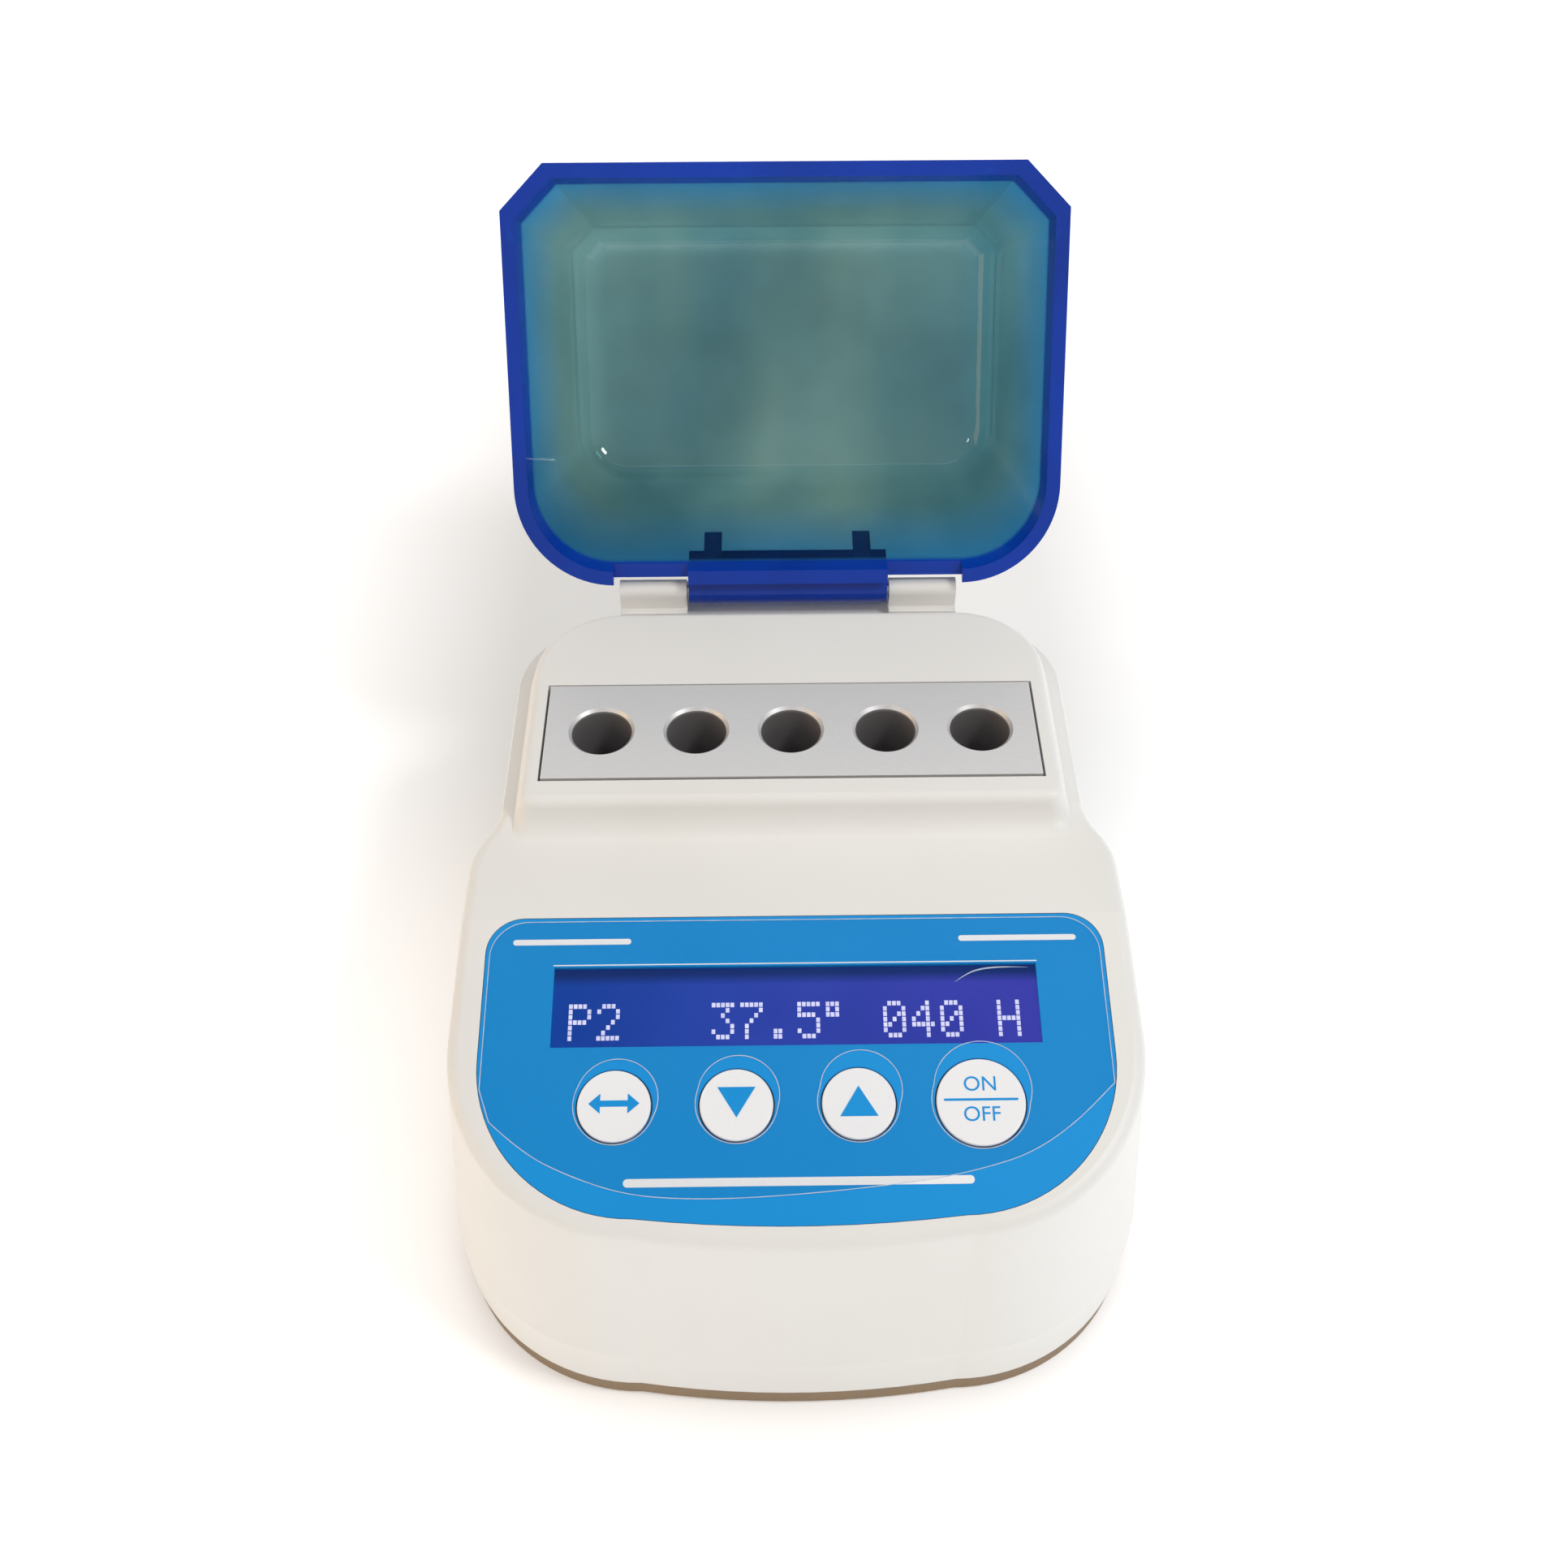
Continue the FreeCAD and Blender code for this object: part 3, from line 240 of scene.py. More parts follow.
def displayGlow():
    # back-lit negative display: deep blue on the left, violet on the right, with a painted shadow of the
    # window's recess along its upper edge
    material, tree, shader = newMaterial("display_glow", {"Base Color": glowLook["base"],
                                                          "Roughness": glowLook["roughness"],
                                                          "Specular IOR Level": glowLook["specular"],
                                                          "Emission Strength": glowLook["strength"]})
    low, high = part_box("display_glass")
    tall = high.z - low.z
    across = heightBetween(tree, (1, 0, 0), low.x, high.x)
    color = colorBlend(tree, across, glowLook["cool"], glowLook["warm"])
    # painted shadow: the glow turns darker near its upper edge, where the recess shades it
    shadowFrom, shadowTo = low.z + glowLook["shadowFrom"] * tall, low.z + glowLook["shadowTo"] * tall
    upward = heightBetween(tree, (0, 0, 1), shadowFrom, shadowTo)
    shadowed = colorBlend(tree, upward, color, glowLook["edge"])
    clouded = cloud(tree, shadowed, glowLook["clouds"], detail=2.0, dimmest=glowLook["dimmest"])
    tree.links.new(clouded, shader.inputs["Emission Color"])
    return material


def circuitBoard():
    # green solder mask over a pattern of copper tracks
    material, tree, shader = newMaterial("board_green", {"Roughness": boardLook["roughness"],
                                                         "Coat Weight": boardLook["coat"]})
    tracks = addNode(tree, "ShaderNodeTexBrick", {"Scale": boardLook["cells"],
                                                  "Mortar Size": boardLook["trackWidth"],
                                                  "Color1": boardLook["mask"],
                                                  "Color2": boardLook["maskShade"],
                                                  "Mortar": boardLook["track"]})
    tree.links.new(objectPoint(tree), tracks.inputs["Vector"])
    tree.links.new(tracks.outputs["Color"], shader.inputs["Base Color"])
    return material


# Cover: depths are measured from its rim into the dome, hingeWall from its sloping rear wall

coverLook = {"rim": paint(0, 58, 176), "wall": paint(42, 122, 172), "floor": paint(116, 154, 148),
             "reflectionStreak": paint(70, 122, 134), "rimDepth": 3.2 * mm, "wallDepth": 4.6 * mm,
             "floorDepth": 26.0 * mm, "hingeWall": 2.0 * mm, "hingeFade": 0.9, "rearLean": 0.548,
             "rimClear": 0.1, "wallClear": 0.98, "roughness": 0.04, "index": 1.46,
             "patches": 26.0, "reflectionStretch": (1, 0.3, 0.3), "clouds": 28.0,
             "dimmest": paint(216, 224, 222), "ripples": 70.0, "rippleStrength": 0.01,
             "rippleDepth": 0.4 * mm}


def coverAxes():
    # directions from the open cover's rim into its dome and from its hinge to its front edge
    hinge = joints["cover_hinge"]
    swing = Matrix.Rotation(-math.radians(hinge["range_deg"][1]), 3, Vector(hinge["axis"]))
    inward, forward = swing @ Vector((0, 0, 1)), swing @ Vector((0, -1, 0))
    rim = min(inward.dot(vertex.co) for vertex in cadNodes["cover"].data.vertices)
    return inward, rim, forward, forward.dot(Vector(hinge["pos_m"]))


def tintedAcrylic():
    # royal blue where the rim and hinge are solid, clear teal and grey-green where the wall is thin, with
    # painted reflections as darker blue streaks across the floor
    material, tree, shader = newMaterial("cover_tint", {"Roughness": coverLook["roughness"],
                                                        "IOR": coverLook["index"]})
    inward, rim, forward, pivot = coverAxes()
    wallFrom = rim + coverLook["wallDepth"]
    past = heightBetween(tree, tuple(inward), rim + coverLook["rimDepth"], wallFrom)
    lean, hingeWall = coverLook["rearLean"], coverLook["hingeWall"]
    outside = pivot - lean * rim
    fadeFrom = outside + coverLook["hingeFade"] * hingeWall
    ahead = heightBetween(tree, tuple(forward - lean * inward), fadeFrom, outside + hingeWall)
    thin = multiply(tree, past, ahead)
    deep = heightBetween(tree, tuple(inward), wallFrom, rim + coverLook["floorDepth"])
    # painted reflections: streaks of darker blue, drawn out along Y and Z, across the grey-green floor
    patches = grain(tree, coverLook["patches"], detail=2.0, rough=0.5,
                    stretch=coverLook["reflectionStretch"])
    floor = tint(tree, patches, coverLook["reflectionStreak"], coverLook["floor"])
    wall = colorBlend(tree, deep, coverLook["wall"], floor)
    color = colorBlend(tree, thin, coverLook["rim"], wall)
    clouded = cloud(tree, color, coverLook["clouds"], detail=3.0, dimmest=coverLook["dimmest"])
    tree.links.new(clouded, shader.inputs["Base Color"])
    clear = spread(tree, thin, coverLook["rimClear"], coverLook["wallClear"], 0.0, 1.0)
    tree.links.new(clear, shader.inputs["Transmission Weight"])
    ripples = grain(tree, coverLook["ripples"], detail=2.0)
    addBump(tree, shader, ripples, coverLook["rippleStrength"], coverLook["rippleDepth"])
    return material


def dressNodes():
    case = mouldedPlastic("case_white", **caseLook)
    dark = mouldedPlastic("dark_moulding", **darkLook)
    white = mouldedPlastic("key_white", **keyLook)
    rubber = mouldedPlastic("foot_rubber", **rubberLook)
    steel = brushedMetal("bright_steel", **steelLook)
    brass = brushedMetal("plain_brass", **brassLook)
    board = circuitBoard()
    block = boredBlock()
    finishes = {"upper_housing": case, "lower_housing": mouldedPlastic("tray_shadow_brown", **trayShadowLook),
                "case_screws": steel, "heating_block": block, "heat_spreader": block,
                "heater_plate": mouldedPlastic("heater_silicone", **siliconeLook),
                "block_insulation": mouldedPlastic("insulation_wool", **woolLook),
                "block_cradle": steel, "cradle_posts": brass, "temperature_probe": steel,
                "thermal_cutout": dark, "panel_overlay": printedFilm(), "display_frame": dark,
                "display_glass": displayGlow(), "display_backlight": white, "display_board": board,
                "key_board": board, "key_switches": dark, "supply_board": board,
                "supply_posts": brass, "supply_transformer": dark, "supply_capacitor": dark,
                "heater_triac": dark, "power_inlet": dark, "inlet_pins": brass,
                "power_switch_body": dark, "power_rocker": dark, "cover": tintedAcrylic(),
                "hinge_pin": steel}
    for name in ("menu", "down", "up", "start"):
        finishes["key_" + name] = white
    for name in ("front_left", "front_right", "rear_left", "rear_right"):
        finishes["foot_" + name] = rubber
    for name, material in finishes.items():
        cadNodes[name].material_slots[0].material = material
    print("dressed", len(finishes), "pieces")
    return finishes


# Panel frame: origin at the middle of the overlay's upper edge, +Y up the slope, +Z out

panel = {"thickness": 1.0 * mm}


def panelMatrix():
    inward = Vector(joints["key_menu_press"]["axis"]).normalized()
    outward = -inward
    upSlope = outward.cross(Vector((1, 0, 0)))
    low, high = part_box("panel_overlay")
    edge = Vector((0, high.y + outward.y * panel["thickness"], high.z))
    axes = Matrix((Vector((1, 0, 0)), upSlope, outward)).transposed().to_4x4()
    return Matrix.Translation(edge) @ axes


def panelSpots(name):
    # a node's points in the panel's frame
    place = panelMatrix().inverted()
    return [place @ vertex.co for vertex in cadNodes[name].data.vertices]


def keyCentre(name):
    low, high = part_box("key_" + name)
    middle = panelMatrix().inverted() @ ((low + high) / 2)
    return middle.x, middle.y


def keyTop(name):
    # frame on the middle of a key's top face
    x, y = keyCentre(name)
    highest = max(spot.z for spot in panelSpots("key_" + name))
    return panelMatrix() @ Matrix.Translation((x, y, highest))


# Outlines and the closed pieces made from them

shapes = {"weld": 0.001 * mm, "circleSteps": 36, "barSteps": 8,
          "barEnd": 0.98}  # a little under half round, so the ends keep a short straight


def arcPoints(x, y, radius, start, end, steps=24):
    points = []
    for step in range(steps + 1):
        turn = math.radians(start + (end - start) * step / steps)
        points.append((x + radius * math.cos(turn), y + radius * math.sin(turn)))
    return points


def circlePoints(radius):
    count = shapes["circleSteps"]
    return arcPoints(0, 0, radius, 0, 360 - 360 / count, count - 1)


def roundedBar(width, height, x=0.0, y=0.0):
    radius = min(width, height) / 2 * shapes["barEnd"]
    halfX, halfY = width / 2 - radius, height / 2 - radius
    points = []
    for signX, signY, start in ((1, 1, 0), (-1, 1, 90), (-1, -1, 180), (1, -1, 270)):
        middleX, middleY = x + signX * halfX, y + signY * halfY
        points += arcPoints(middleX, middleY, radius, start, start + 90, shapes["barSteps"])
    return points


def addRun(curve, kind, spots, closed):
    spline = curve.splines.new(kind)
    spline.points.add(len(spots) - 1)
    for point, spot in zip(spline.points, spots):
        point.co = (spot[0], spot[1], 0, 1)
    spline.use_cyclic_u = closed
    return spline


def plainMesh(holder):
    # what a curve or a node tree evaluates to; its object goes
    bpy.context.scene.collection.objects.link(holder)
    bpy.context.view_layer.update()
    graph = bpy.context.evaluated_depsgraph_get()
    mesh = bpy.data.meshes.new_from_object(holder.evaluated_get(graph), depsgraph=graph)
    bpy.data.objects.remove(holder)
    return mesh


def curveMesh(curve, place):
    mesh = plainMesh(bpy.data.objects.new("holder", curve))
    mesh.transform(place)
    work = bmesh.new()
    work.from_mesh(mesh)
    bmesh.ops.remove_doubles(work, verts=work.verts, dist=shapes["weld"])
    bmesh.ops.recalc_face_normals(work, faces=work.faces)
    work.to_mesh(mesh)
    work.free()
    return mesh


def meshObject(name, mesh, material, body):
    piece = bpy.data.objects.new(name, mesh)
    bpy.context.scene.collection.objects.link(piece)
    mesh.materials.clear()
    mesh.materials.append(material)
    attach(piece, body)


def flatPlate(name, loops, thickness, place, material, body):
    # loops are closed outlines in the plane of place; inner ones make holes
    curve = bpy.data.curves.new(name, "CURVE")
    curve.dimensions = "2D"
    curve.fill_mode = "BOTH"
    curve.extrude = thickness / 2
    for loop in loops:
        addRun(curve, "POLY", loop, True)
    mesh = curveMesh(curve, place @ Matrix.Translation((0, 0, thickness / 2)))
    mesh.name = name
    meshObject(name, mesh, material, body)


# Print on the panel, and a painted highlight along the display window's top edge: a bar is its width,
# height, distance from the middle and distance down the slope

bars = {"thickness": 0.06 * mm, "upper": (25.2 * mm, 1.3 * mm, 47.6 * mm, 5.5 * mm),
        "lower": (70.0 * mm, 1.7 * mm, 0.0, 57.6 * mm), "windowHighlight": 0.24 * mm}


def panelBarsAndHighlight(ink):
    width, height, x, down = bars["upper"]
    lowWidth, lowHeight, lowX, lowDown = bars["lower"]
    glass = panelSpots("display_glass")
    windowHalf, windowTop = max(spot.x for spot in glass), max(spot.y for spot in glass)
    # painted highlight: the pale line along the top of the window stands in for light on the overlay's
    # cut edge
    edge = bars["windowHighlight"]  # pale line along the top of the window
    loops = [roundedBar(width, height, -x, -down), roundedBar(width, height, x, -down),
             roundedBar(lowWidth, lowHeight, lowX, -lowDown),
             roundedBar(2 * windowHalf, edge, 0, windowTop + edge)]
    flatPlate("panel_bars_and_highlight", loops, bars["thickness"], panelMatrix(), ink, "base")


# Print on the keys

symbols = {"thickness": 0.05 * mm, "arrowHalf": 5.2 * mm, "arrowHead": 2.4 * mm, "arrowWing": 2.1 * mm,
           "arrowShaft": 0.65 * mm, "triangleHalf": 3.9 * mm, "triangleTall": 6.4 * mm,
           "textSize": 4.4 * mm, "textRise": 0.72, "dividerHalf": 7.6 * mm, "divider": 0.5 * mm}


def keyWord(word, side, ink):
    # a word above (side 1) or below (side -1) the middle of the start key
    curve = bpy.data.curves.new("mark_" + word, "FONT")
    curve.body = word
    curve.size = symbols["textSize"]
    curve.align_x = "CENTER"
    curve.align_y = "CENTER"
    curve.extrude = symbols["thickness"] / 2
    rise = side * symbols["textSize"] * symbols["textRise"]
    mesh = curveMesh(curve, keyTop("start") @ Matrix.Translation((0, rise, symbols["thickness"] / 2)))
    meshObject("mark_" + word.lower(), mesh, ink, "key_start")


def keySymbols(ink):
    tall, half = symbols["triangleTall"], symbols["triangleHalf"]
    shaft, head = symbols["arrowShaft"], symbols["arrowHead"]
    reach, wing = symbols["arrowHalf"], symbols["arrowWing"]
    arrow = [(-reach, 0), (head - reach, wing), (head - reach, shaft), (reach - head, shaft),
             (reach - head, wing), (reach, 0), (reach - head, -wing), (reach - head, -shaft),
             (head - reach, -shaft), (head - reach, -wing)]
    upward = [(-half, -tall / 2), (half, -tall / 2), (0, tall / 2)]
    downward = [(x, -y) for x, y in upward]
    for name, loop in (("menu", arrow), ("down", downward), ("up", upward)):
        flatPlate("mark_" + name, [loop], symbols["thickness"], keyTop(name), ink, "key_" + name)
    divider = roundedBar(2 * symbols["dividerHalf"], symbols["divider"])
    flatPlate("mark_divider", [divider], symbols["thickness"], keyTop("start"), ink, "key_start")
    keyWord("ON", 1, ink)
    keyWord("OFF", -1, ink)
    print("keys and panel printed")


# Characters of the display: one small lit cell for each dot of a five by seven matrix, by column

display = {"text": {0: "P", 1: "2", 5: "3", 6: "7", 7: ".", 8: "5", 9: "o",
                    11: "0", 12: "4", 13: "0", 15: "H"},
           "columns": 16, "pitch": 6.0 * mm, "dotX": 0.98 * mm, "dotY": 1.18 * mm, "gap": 0.2 * mm,
           "belowWindowTop": 8.0 * mm, "thickness": 0.04 * mm, "color": paint(176, 178, 214),
           "shade": paint(206, 206, 234), "roughness": 0.3, "strength": 0.55, "mottle": 900.0}
glyphs = {
    "P": ("####.", "#...#", "#...#", "####.", "#....", "#....", "#...."),
    "H": ("#...#", "#...#", "#...#", "#####", "#...#", "#...#", "#...#"),
    "0": (".###.", "#...#", "#..##", "#.#.#", "##..#", "#...#", ".###."),
    "2": (".###.", "#...#", "....#", "...#.", "..#..", ".#...", "#####"),
    "3": ("#####", "...#.", "..#..", "...#.", "....#", "#...#", ".###."),
    "4": ("...#.", "..##.", ".#.#.", "#..#.", "#####", "...#.", "...#."),
    "5": ("#####", "#....", "####.", "....#", "....#", "#...#", ".###."),
    "7": ("#####", "....#", "...#.", "..#..", ".#...", ".#...", ".#..."),
    ".": (".....", ".....", ".....", ".....", ".....", ".##..", ".##.."),
    "o": ("###..", "#.#..", "###..", ".....", ".....", ".....", "....."),
}


def litInk():
    ink, tree, shader = newMaterial("display_ink", {"Roughness": display["roughness"],
                                                    "Emission Strength": display["strength"]})
    mottle = grain(tree, display["mottle"], detail=2.0)
    color = tint(tree, mottle, display["color"], display["shade"])
    tree.links.new(color, shader.inputs["Base Color"])
    tree.links.new(color, shader.inputs["Emission Color"])
    return ink


def litDots(top):
    dots = []
    for column, letter in display["text"].items():
        left = (column - display["columns"] / 2) * display["pitch"] + display["gap"]
        for row, line in enumerate(glyphs[letter]):
            for place, mark in enumerate(line):
                if mark == "#":
                    x = left + (place + 0.5) * display["dotX"]
                    dots.append((x, top - (row + 0.5) * display["dotY"], 0))
    return dots


def dotTree(material):
    tree = bpy.data.node_groups.new("litDots", "GeometryNodeTree")
    tree.interface.new_socket("Geometry", in_out="INPUT", socket_type="NodeSocketGeometry")
    tree.interface.new_socket("Dot size", in_out="INPUT", socket_type="NodeSocketVector")
    tree.interface.new_socket("Tilt", in_out="INPUT", socket_type="NodeSocketVector")
    tree.interface.new_socket("Geometry", in_out="OUTPUT", socket_type="NodeSocketGeometry")
    source = tree.nodes.new("NodeGroupInput")
    sink = tree.nodes.new("NodeGroupOutput")
    points = tree.nodes.new("GeometryNodeMeshToPoints")
    cell = tree.nodes.new("GeometryNodeMeshCube")
    copies = tree.nodes.new("GeometryNodeInstanceOnPoints")
    real = tree.nodes.new("GeometryNodeRealizeInstances")
    finish = tree.nodes.new("GeometryNodeSetMaterial")
    finish.inputs["Material"].default_value = material
    join = tree.links.new
    join(source.outputs["Geometry"], points.inputs["Mesh"])
    join(source.outputs["Dot size"], cell.inputs["Size"])
    join(points.outputs["Points"], copies.inputs["Points"])
    join(cell.outputs["Mesh"], copies.inputs["Instance"])
    join(source.outputs["Tilt"], copies.inputs["Rotation"])
    join(copies.outputs["Instances"], real.inputs["Geometry"])
    join(real.outputs["Geometry"], finish.inputs["Geometry"])
    join(finish.outputs["Geometry"], sink.inputs["Geometry"])
    return tree


def bakeTree(name, mesh, tree, values):
    # runs a node tree on a base mesh and keeps the result as a plain mesh
    base = bpy.data.objects.new(name + "Base", mesh)
    modifier = base.modifiers.new(name, "NODES")
    modifier.node_group = tree
    for item in tree.interface.items_tree:
        if item.in_out == "INPUT" and item.name in values:
            modifier[item.identifier] = values[item.name]
    return plainMesh(base)


def displayCharacters():
    ink = litInk()
    place = panelMatrix()
    glass = panelSpots("display_glass")
    upperRow = max(spot.y for spot in glass) - display["belowWindowTop"]
    face = max(spot.z for spot in glass)
    lift = place @ Matrix.Translation((0, 0, face + display["thickness"] / 2))
    dots = [lift @ Vector(dot) for dot in litDots(upperRow)]
    mesh = bpy.data.meshes.new("dots")
    mesh.from_pydata(dots, [], [])
    size = (display["dotX"] - display["gap"], display["dotY"] - display["gap"], display["thickness"])
    sizes = {"Dot size": size, "Tilt": tuple(place.to_euler())}
    cells = bakeTree("display_characters", mesh, dotTree(ink), sizes)
    meshObject("display_characters", cells, ink, "base")
    print("display characters", len(dots), "dots")


# Clear protective film, laid by hand a little askew; foot, holeShift and crease are in millimetres

film = {"thickness": 0.08 * mm, "lift": 0.02 * mm, "inset": 0.8 * mm, "topCorner": 8.0 * mm,
        "sideEnd": 38.0 * mm, "rimHighlight": 0.1 * mm, "creaseHighlight": 0.16 * mm, "creaseTip": 0.15,
        "highlightSteps": 2, "holePlay": 0.45 * mm, "holeSteps": 72, "capDepth": 0.5 * mm,
        "runOrder": 3, "runSteps": 8,
        "foot": ((-62.6, -44.8), (-55.6, -51.2), (-45.6, -56.2), (-34.2, -60.0), (-21.3, -61.0),
                 (-6.9, -60.7), (12.4, -59.2), (33.5, -56.6), (51.9, -50.8), (61.9, -41.0)),
        "holeShift": {"menu": (0.5, 1.2), "down": (0.4, 1.7), "up": (0.6, 2.6), "start": (0.6, 2.6)},
        "crease": ((33.6, -15.6), (36.3, -13.6), (39.8, -12.5), (45.0, -12.2), (49.3, -12.4))}
filmLook = {"color": paint(20, 96, 150), "shade": paint(40, 110, 160), "mottle": 40.0,
            "sockets": {"Roughness": 0.15, "Alpha": 0.05, "Specular IOR Level": 0.1}}
# painted highlights: white translucent beads along the film's cut edges and its crease stand in for light
# caught there
filmHighlightLook = {"color": paint(255, 255, 255), "shade": paint(206, 232, 255), "mottle": 300.0,
                "sockets": {"Roughness": 0.2, "Alpha": 0.55}}


def clearFilm(name, color, shade, mottle, sockets):
    material, tree, shader = newMaterial(name, sockets)
    tree.links.new(tint(tree, grain(tree, mottle), color, shade), shader.inputs["Base Color"])
    return material


def keyRadius(name):
    # radius of a key's cap, inside its hidden flange
    place = keyTop(name).inverted()
    cap = [place @ vertex.co for vertex in cadNodes["key_" + name].data.vertices]
    return max(math.hypot(spot.x, spot.y) for spot in cap if spot.z > -film["capDepth"])


def filmHole(name):
    # the key's own circle and the film's shifted one, taken together
    x, y = keyCentre(name)
    radius = keyRadius(name) + film["holePlay"]
    shiftX, shiftY = (length * mm for length in film["holeShift"][name])
    points = []
    for step in range(film["holeSteps"]):
        turn = 2 * math.pi * step / film["holeSteps"]
        along = shiftX * math.cos(turn) + shiftY * math.sin(turn)
        across = shiftX * math.sin(turn) - shiftY * math.cos(turn)
        reach = max(radius, along + math.sqrt(radius ** 2 - across ** 2))
        points.append((x + reach * math.cos(turn), y + reach * math.sin(turn)))
    return points


def smoothRun(spots, name):
    # points along a smooth line near a few listed spots, in millimetres
    curve = bpy.data.curves.new(name, "CURVE")
    spline = addRun(curve, "NURBS", [(x * mm, y * mm) for x, y in spots], False)
    spline.order_u = film["runOrder"]
    spline.use_endpoint_u = True
    curve.resolution_u = film["runSteps"]
    mesh = plainMesh(bpy.data.objects.new(name, curve))
    return [(vertex.co.x, vertex.co.y) for vertex in mesh.vertices]


def filmOutline():
    half = max(spot.x for spot in panelSpots("panel_overlay")) - film["inset"]
    top, corner = -film["inset"], film["topCorner"]
    outline = arcPoints(half - corner, top - corner, corner, 0, 90)
    outline += arcPoints(corner - half, top - corner, corner, 90, 180)
    outline += [(-half, -film["sideEnd"])]
    outline += smoothRun(film["foot"], "filmFoot")
    return outline + [(half, -film["sideEnd"])]


def highlightCurve(name, loops, closed, radius):
    # painted highlight: a fine round tube along each loop; an open one thins towards its ends
    curve = bpy.data.curves.new(name, "CURVE")
    curve.dimensions = "3D"
    curve.bevel_depth = radius
    curve.bevel_resolution = film["highlightSteps"]
    curve.use_fill_caps = True
    for loop in loops:
        spline = addRun(curve, "POLY", loop, closed)
        for index, point in enumerate(spline.points):
            if not closed:
                point.radius = film["creaseTip"] + math.sin(math.pi * index / (len(loop) - 1))
    return curve


def layFilm():
    overlay = panelMatrix() @ Matrix.Translation((0, 0, film["lift"]))
    loops = [filmOutline()] + [filmHole(name) for name in film["holeShift"]]
    sheet = clearFilm("clear_film", **filmLook)
    flatPlate("panel_film", loops, film["thickness"], overlay, sheet, "base")
    # painted highlights along the film's edges and along its crease
    edge = clearFilm("film_highlight", **filmHighlightLook)
    lifted = overlay @ Matrix.Translation((0, 0, film["thickness"]))
    rim = curveMesh(highlightCurve("filmRimHighlight", loops, True, film["rimHighlight"]), lifted)
    meshObject("film_rim_highlight", rim, edge, "base")
    run = smoothRun(film["crease"], "creaseRun")
    crease = highlightCurve("filmCreaseHighlight", [run], False, film["creaseHighlight"])
    meshObject("film_crease_highlight", curveMesh(crease, lifted), edge, "base")
    print("film laid")


# Marks on the rear switch

rockerMarks = {"thickness": 0.05 * mm, "bar": 4.2 * mm, "ring": 2.3 * mm, "line": 0.7 * mm,
               "nearSide": 0.01 * mm}


def rockerSigns(ink):
    # a bar on the half that is pressed at rest, while the display is lit, and a ring on the other
    low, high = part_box("power_rocker")
    x = (low.x + high.x) / 2
    pivot = Vector(joints["power_switch"]["pos_m"])
    spots = [vertex.co for vertex in cadNodes["power_rocker"].data.vertices]
    near = [spot for spot in spots if abs(spot.x - high.x) < rockerMarks["nearSide"]]
    face = [spot for spot in near if spot.y > pivot.y]
    upper = max(face, key=lambda spot: spot.z)
    lower = min(face, key=lambda spot: spot.z)
    waist = min(face, key=lambda spot: abs(spot.z - pivot.z))
    half, tall, radius = rockerMarks["line"] / 2, rockerMarks["bar"] / 2, rockerMarks["ring"]
    bar = [(-half, -tall), (half, -tall), (half, tall), (-half, tall)]
    ring = [circlePoints(radius), circlePoints(radius - rockerMarks["line"])]
    leftward = Vector((-1, 0, 0))  # to the right for someone who faces the back
    signs = (("mark_bar", waist, lower, [bar]), ("mark_ring", upper, waist, ring))
    for name, top, foot, loops in signs:
        along = (top - foot).normalized()
        axes = Matrix((leftward, along, leftward.cross(along))).transposed().to_4x4()
        middle = (top + foot) / 2
        place = Matrix.Translation((x, middle.y, middle.z)) @ axes
        flatPlate(name, loops, rockerMarks["thickness"], place, ink, "power_rocker")
    print("switch marked")


# Studio: a pale floor that shades off around the heater, a plain sky and four lamps

floorLook = {"half": 30.0, "color": paint(250, 250, 250), "shade": paint(248, 248, 248), "mottle": 6.0,
             "roughness": 0.7, "glow": 0.48, "shadeGlow": 0.08, "shadeY": 0.14, "shadeSqueeze": 0.45,
             "shadeNear": 0.085, "shadeFar": 0.165}
skyLook = {"overhead": 0.5, "horizon": 0.7, "horizonTop": 0.35, "left": (0.8, 0.71, 0.6, 1),
           "right": (1, 1, 1, 1), "leftEnd": -0.85, "rightStart": -0.2}
lamps = {"key": {"place": (0.5, -0.25, 0.8), "aim": (0, 0, 0.06), "size": (0.2, 0.16), "power": 2.5},
         "spark": {"place": (-0.45, -0.55, 0.75), "aim": (0, 0, 0.1), "size": (0.1, 0.08), "power": 0.35},
         "warm": {"place": (-0.8, -0.2, 0.35), "aim": (0, 0, 0.06), "size": (0.5, 0.5), "power": 1.4,
                  "color": (1.0, 0.66, 0.34)},
         "top": {"place": (0, 0.3, 0.9), "aim": (0, 0, 0.06), "size": (0.7, 0.5), "power": 1.4}}


def paleFloor():
    # lit a little from below, less so close to the heater
    material, tree, shader = newMaterial("floor_pale", {"Roughness": floorLook["roughness"],
                                                        "Emission Color": (1, 1, 1, 1)})
    color = tint(tree, grain(tree, floorLook["mottle"]), floorLook["color"], floorLook["shade"])
    tree.links.new(color, shader.inputs["Base Color"])
    squeeze = floorLook["shadeSqueeze"]
    centred = objectPoint(tree, stretch=(1, squeeze, 1), offset=(0, -squeeze * floorLook["shadeY"], 0))
    away = addNode(tree, "ShaderNodeVectorMath", operation="LENGTH")
    tree.links.new(centred, away.inputs[0])
    glow = spread(tree, away.outputs["Value"], floorLook["shadeGlow"], floorLook["glow"],
                  floorLook["shadeNear"], floorLook["shadeFar"])
    tree.links.new(glow, shader.inputs["Emission Strength"])
    return material


def buildFloor():
    half = floorLook["half"]
    corners = [(-half, -half, 0), (half, -half, 0), (half, half, 0), (-half, half, 0)]
    mesh = bpy.data.meshes.new("floor")
    mesh.from_pydata(corners, [], [(0, 1, 2, 3)])
    mesh.materials.append(paleFloor())
    piece = bpy.data.objects.new("floor", mesh)
    bpy.context.scene.collection.objects.link(piece)


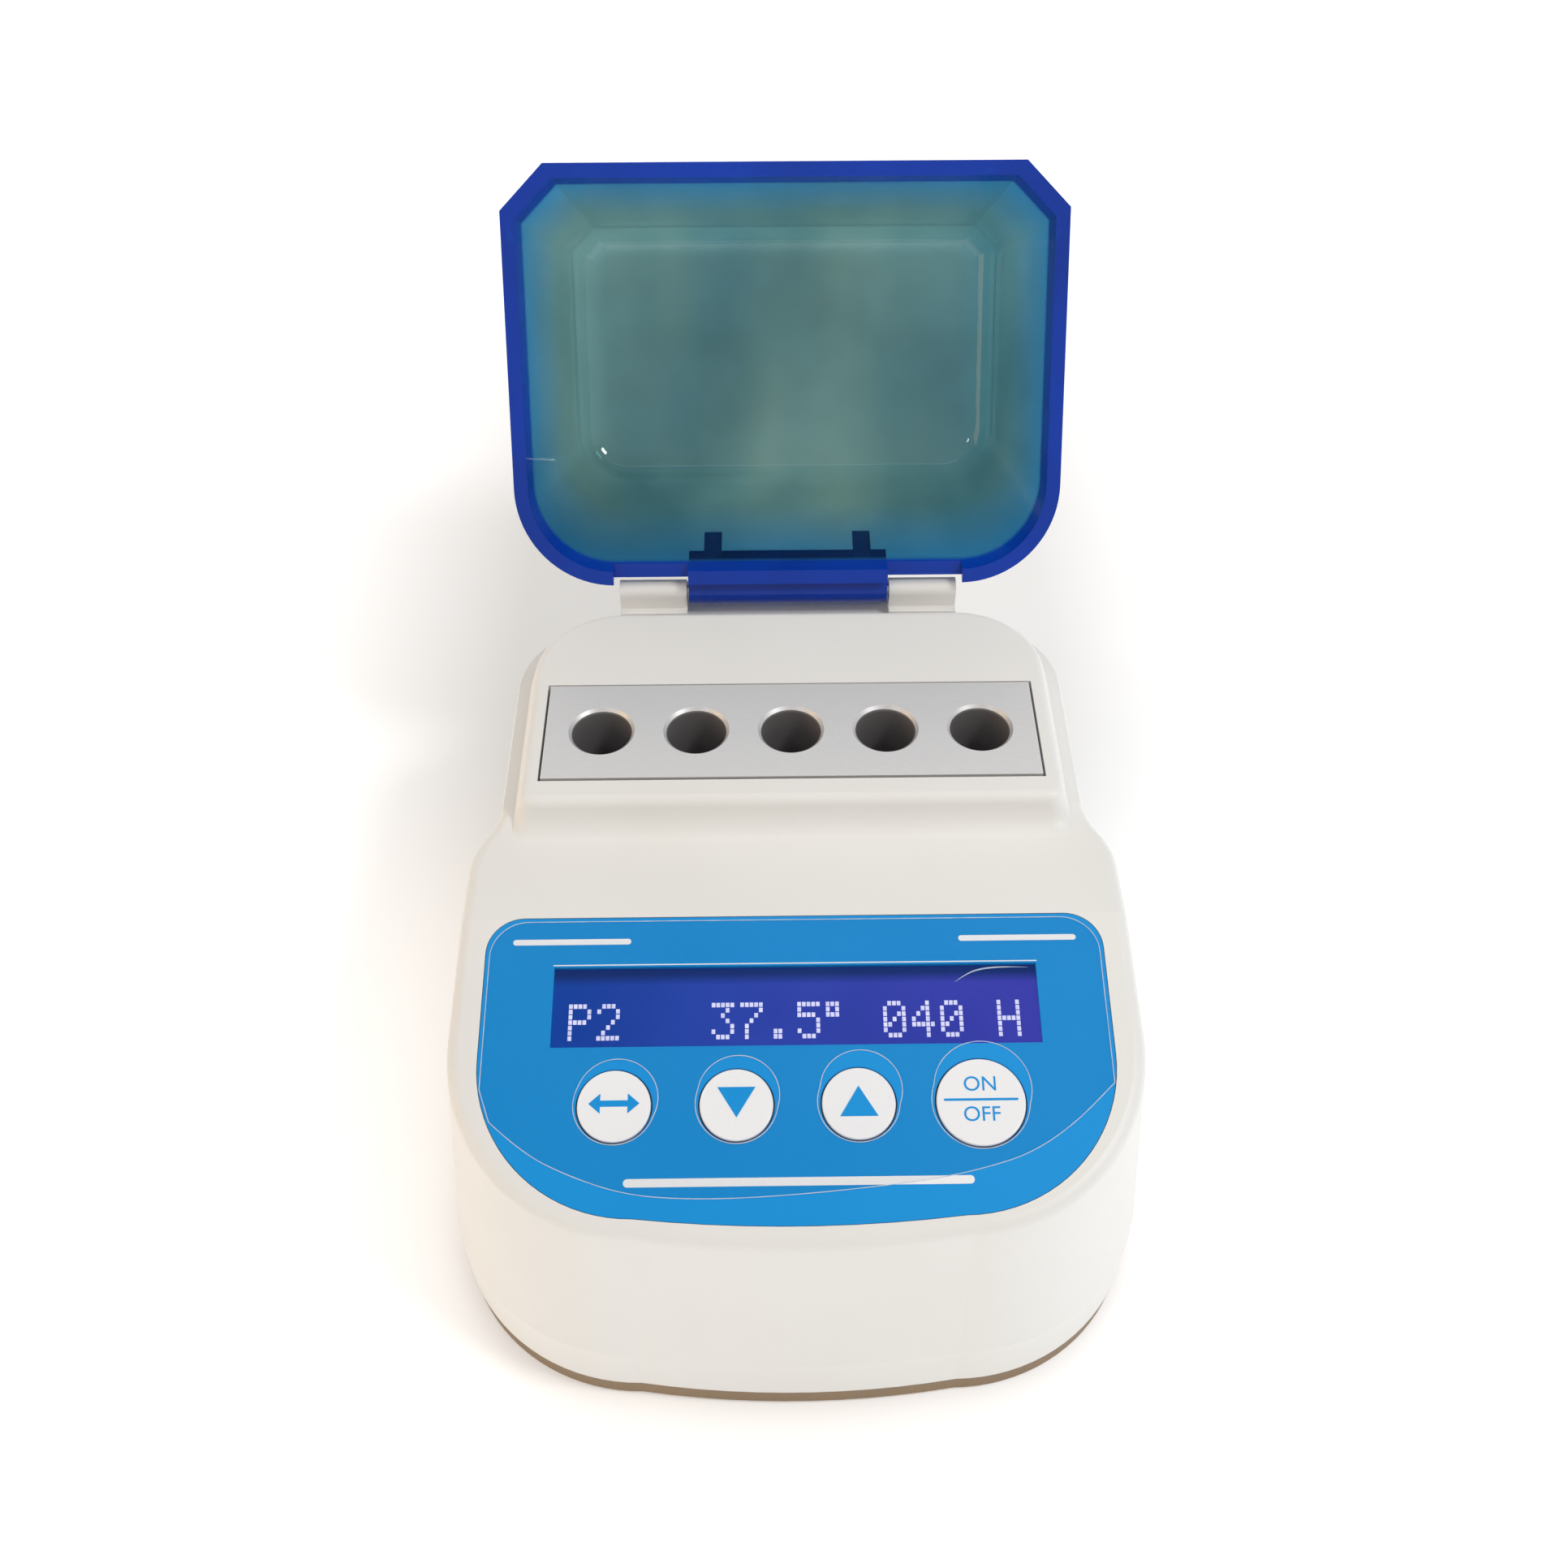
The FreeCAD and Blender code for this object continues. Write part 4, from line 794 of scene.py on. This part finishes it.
def buildSky():
    # lighter towards the horizon, a little warmer on the left
    world = bpy.data.worlds.new("studio")
    world.use_nodes = True
    tree = world.node_tree
    direction = addNode(tree, "ShaderNodeTexCoord")
    parts = addNode(tree, "ShaderNodeSeparateXYZ")
    tree.links.new(direction.outputs["Generated"], parts.inputs["Vector"])
    rightward = spread(tree, parts.outputs["X"], 0.0, 1.0, skyLook["leftEnd"], skyLook["rightStart"])
    color = colorBlend(tree, rightward, skyLook["left"], skyLook["right"])
    strength = spread(tree, parts.outputs["Z"], skyLook["horizon"], skyLook["overhead"],
                      0.0, skyLook["horizonTop"])
    tree.links.new(color, tree.nodes["Background"].inputs["Color"])
    tree.links.new(strength, tree.nodes["Background"].inputs["Strength"])
    bpy.context.scene.world = world
    bpy.context.scene.view_settings.view_transform = "Standard"


def areaLight(name, place, aim, size, power, color=(1, 1, 1)):
    light = bpy.data.lights.new(name, "AREA")
    light.shape = "RECTANGLE"
    light.size, light.size_y = size
    light.energy = power
    light.color = color
    lamp = bpy.data.objects.new(name, light)
    bpy.context.scene.collection.objects.link(lamp)
    lamp.location = place
    lamp.rotation_euler = (Vector(aim) - Vector(place)).to_track_quat("-Z", "Y").to_euler()


# Camera: metres from the middle of the block's top face, degrees, and pixels of the square photograph

view = {"fromBlock": (-4.7 * mm, -269.2 * mm, 272.0 * mm), "pitch": 47.21, "yaw": 0.65, "roll": -0.1,
        "focal": 2027.0, "frame": 1932.0, "sensor": 36.0, "clipStart": 10.0 * mm}


def buildCamera():
    camera = bpy.data.cameras.new("camera")
    camera.sensor_width = view["sensor"]
    camera.lens = view["focal"] / view["frame"] * view["sensor"]
    camera.clip_start = view["clipStart"]
    holder = bpy.data.objects.new("camera", camera)
    bpy.context.scene.collection.objects.link(holder)
    low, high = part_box("heating_block")
    place = Vector(((low.x + high.x) / 2, (low.y + high.y) / 2, high.z)) + Vector(view["fromBlock"])
    pitch, yaw = math.radians(view["pitch"]), math.radians(view["yaw"])
    turn = Matrix.Rotation(-yaw, 4, "Z") @ Matrix.Rotation(math.pi / 2 - pitch, 4, "X")
    spin = Matrix.Rotation(math.radians(view["roll"]), 4, "Z")
    holder.matrix_world = Matrix.Translation(place) @ turn @ spin
    bpy.context.scene.camera = holder


buildFloor()
buildSky()
for lampName, lampValues in lamps.items():
    areaLight(lampName, **lampValues)
buildCamera()
print("studio built")

finishes = dressNodes()
panelBarsAndHighlight(finishes["key_menu"])
keySymbols(finishes["panel_overlay"])
displayCharacters()
layFilm()
rockerSigns(finishes["key_menu"])
print("pieces in place")
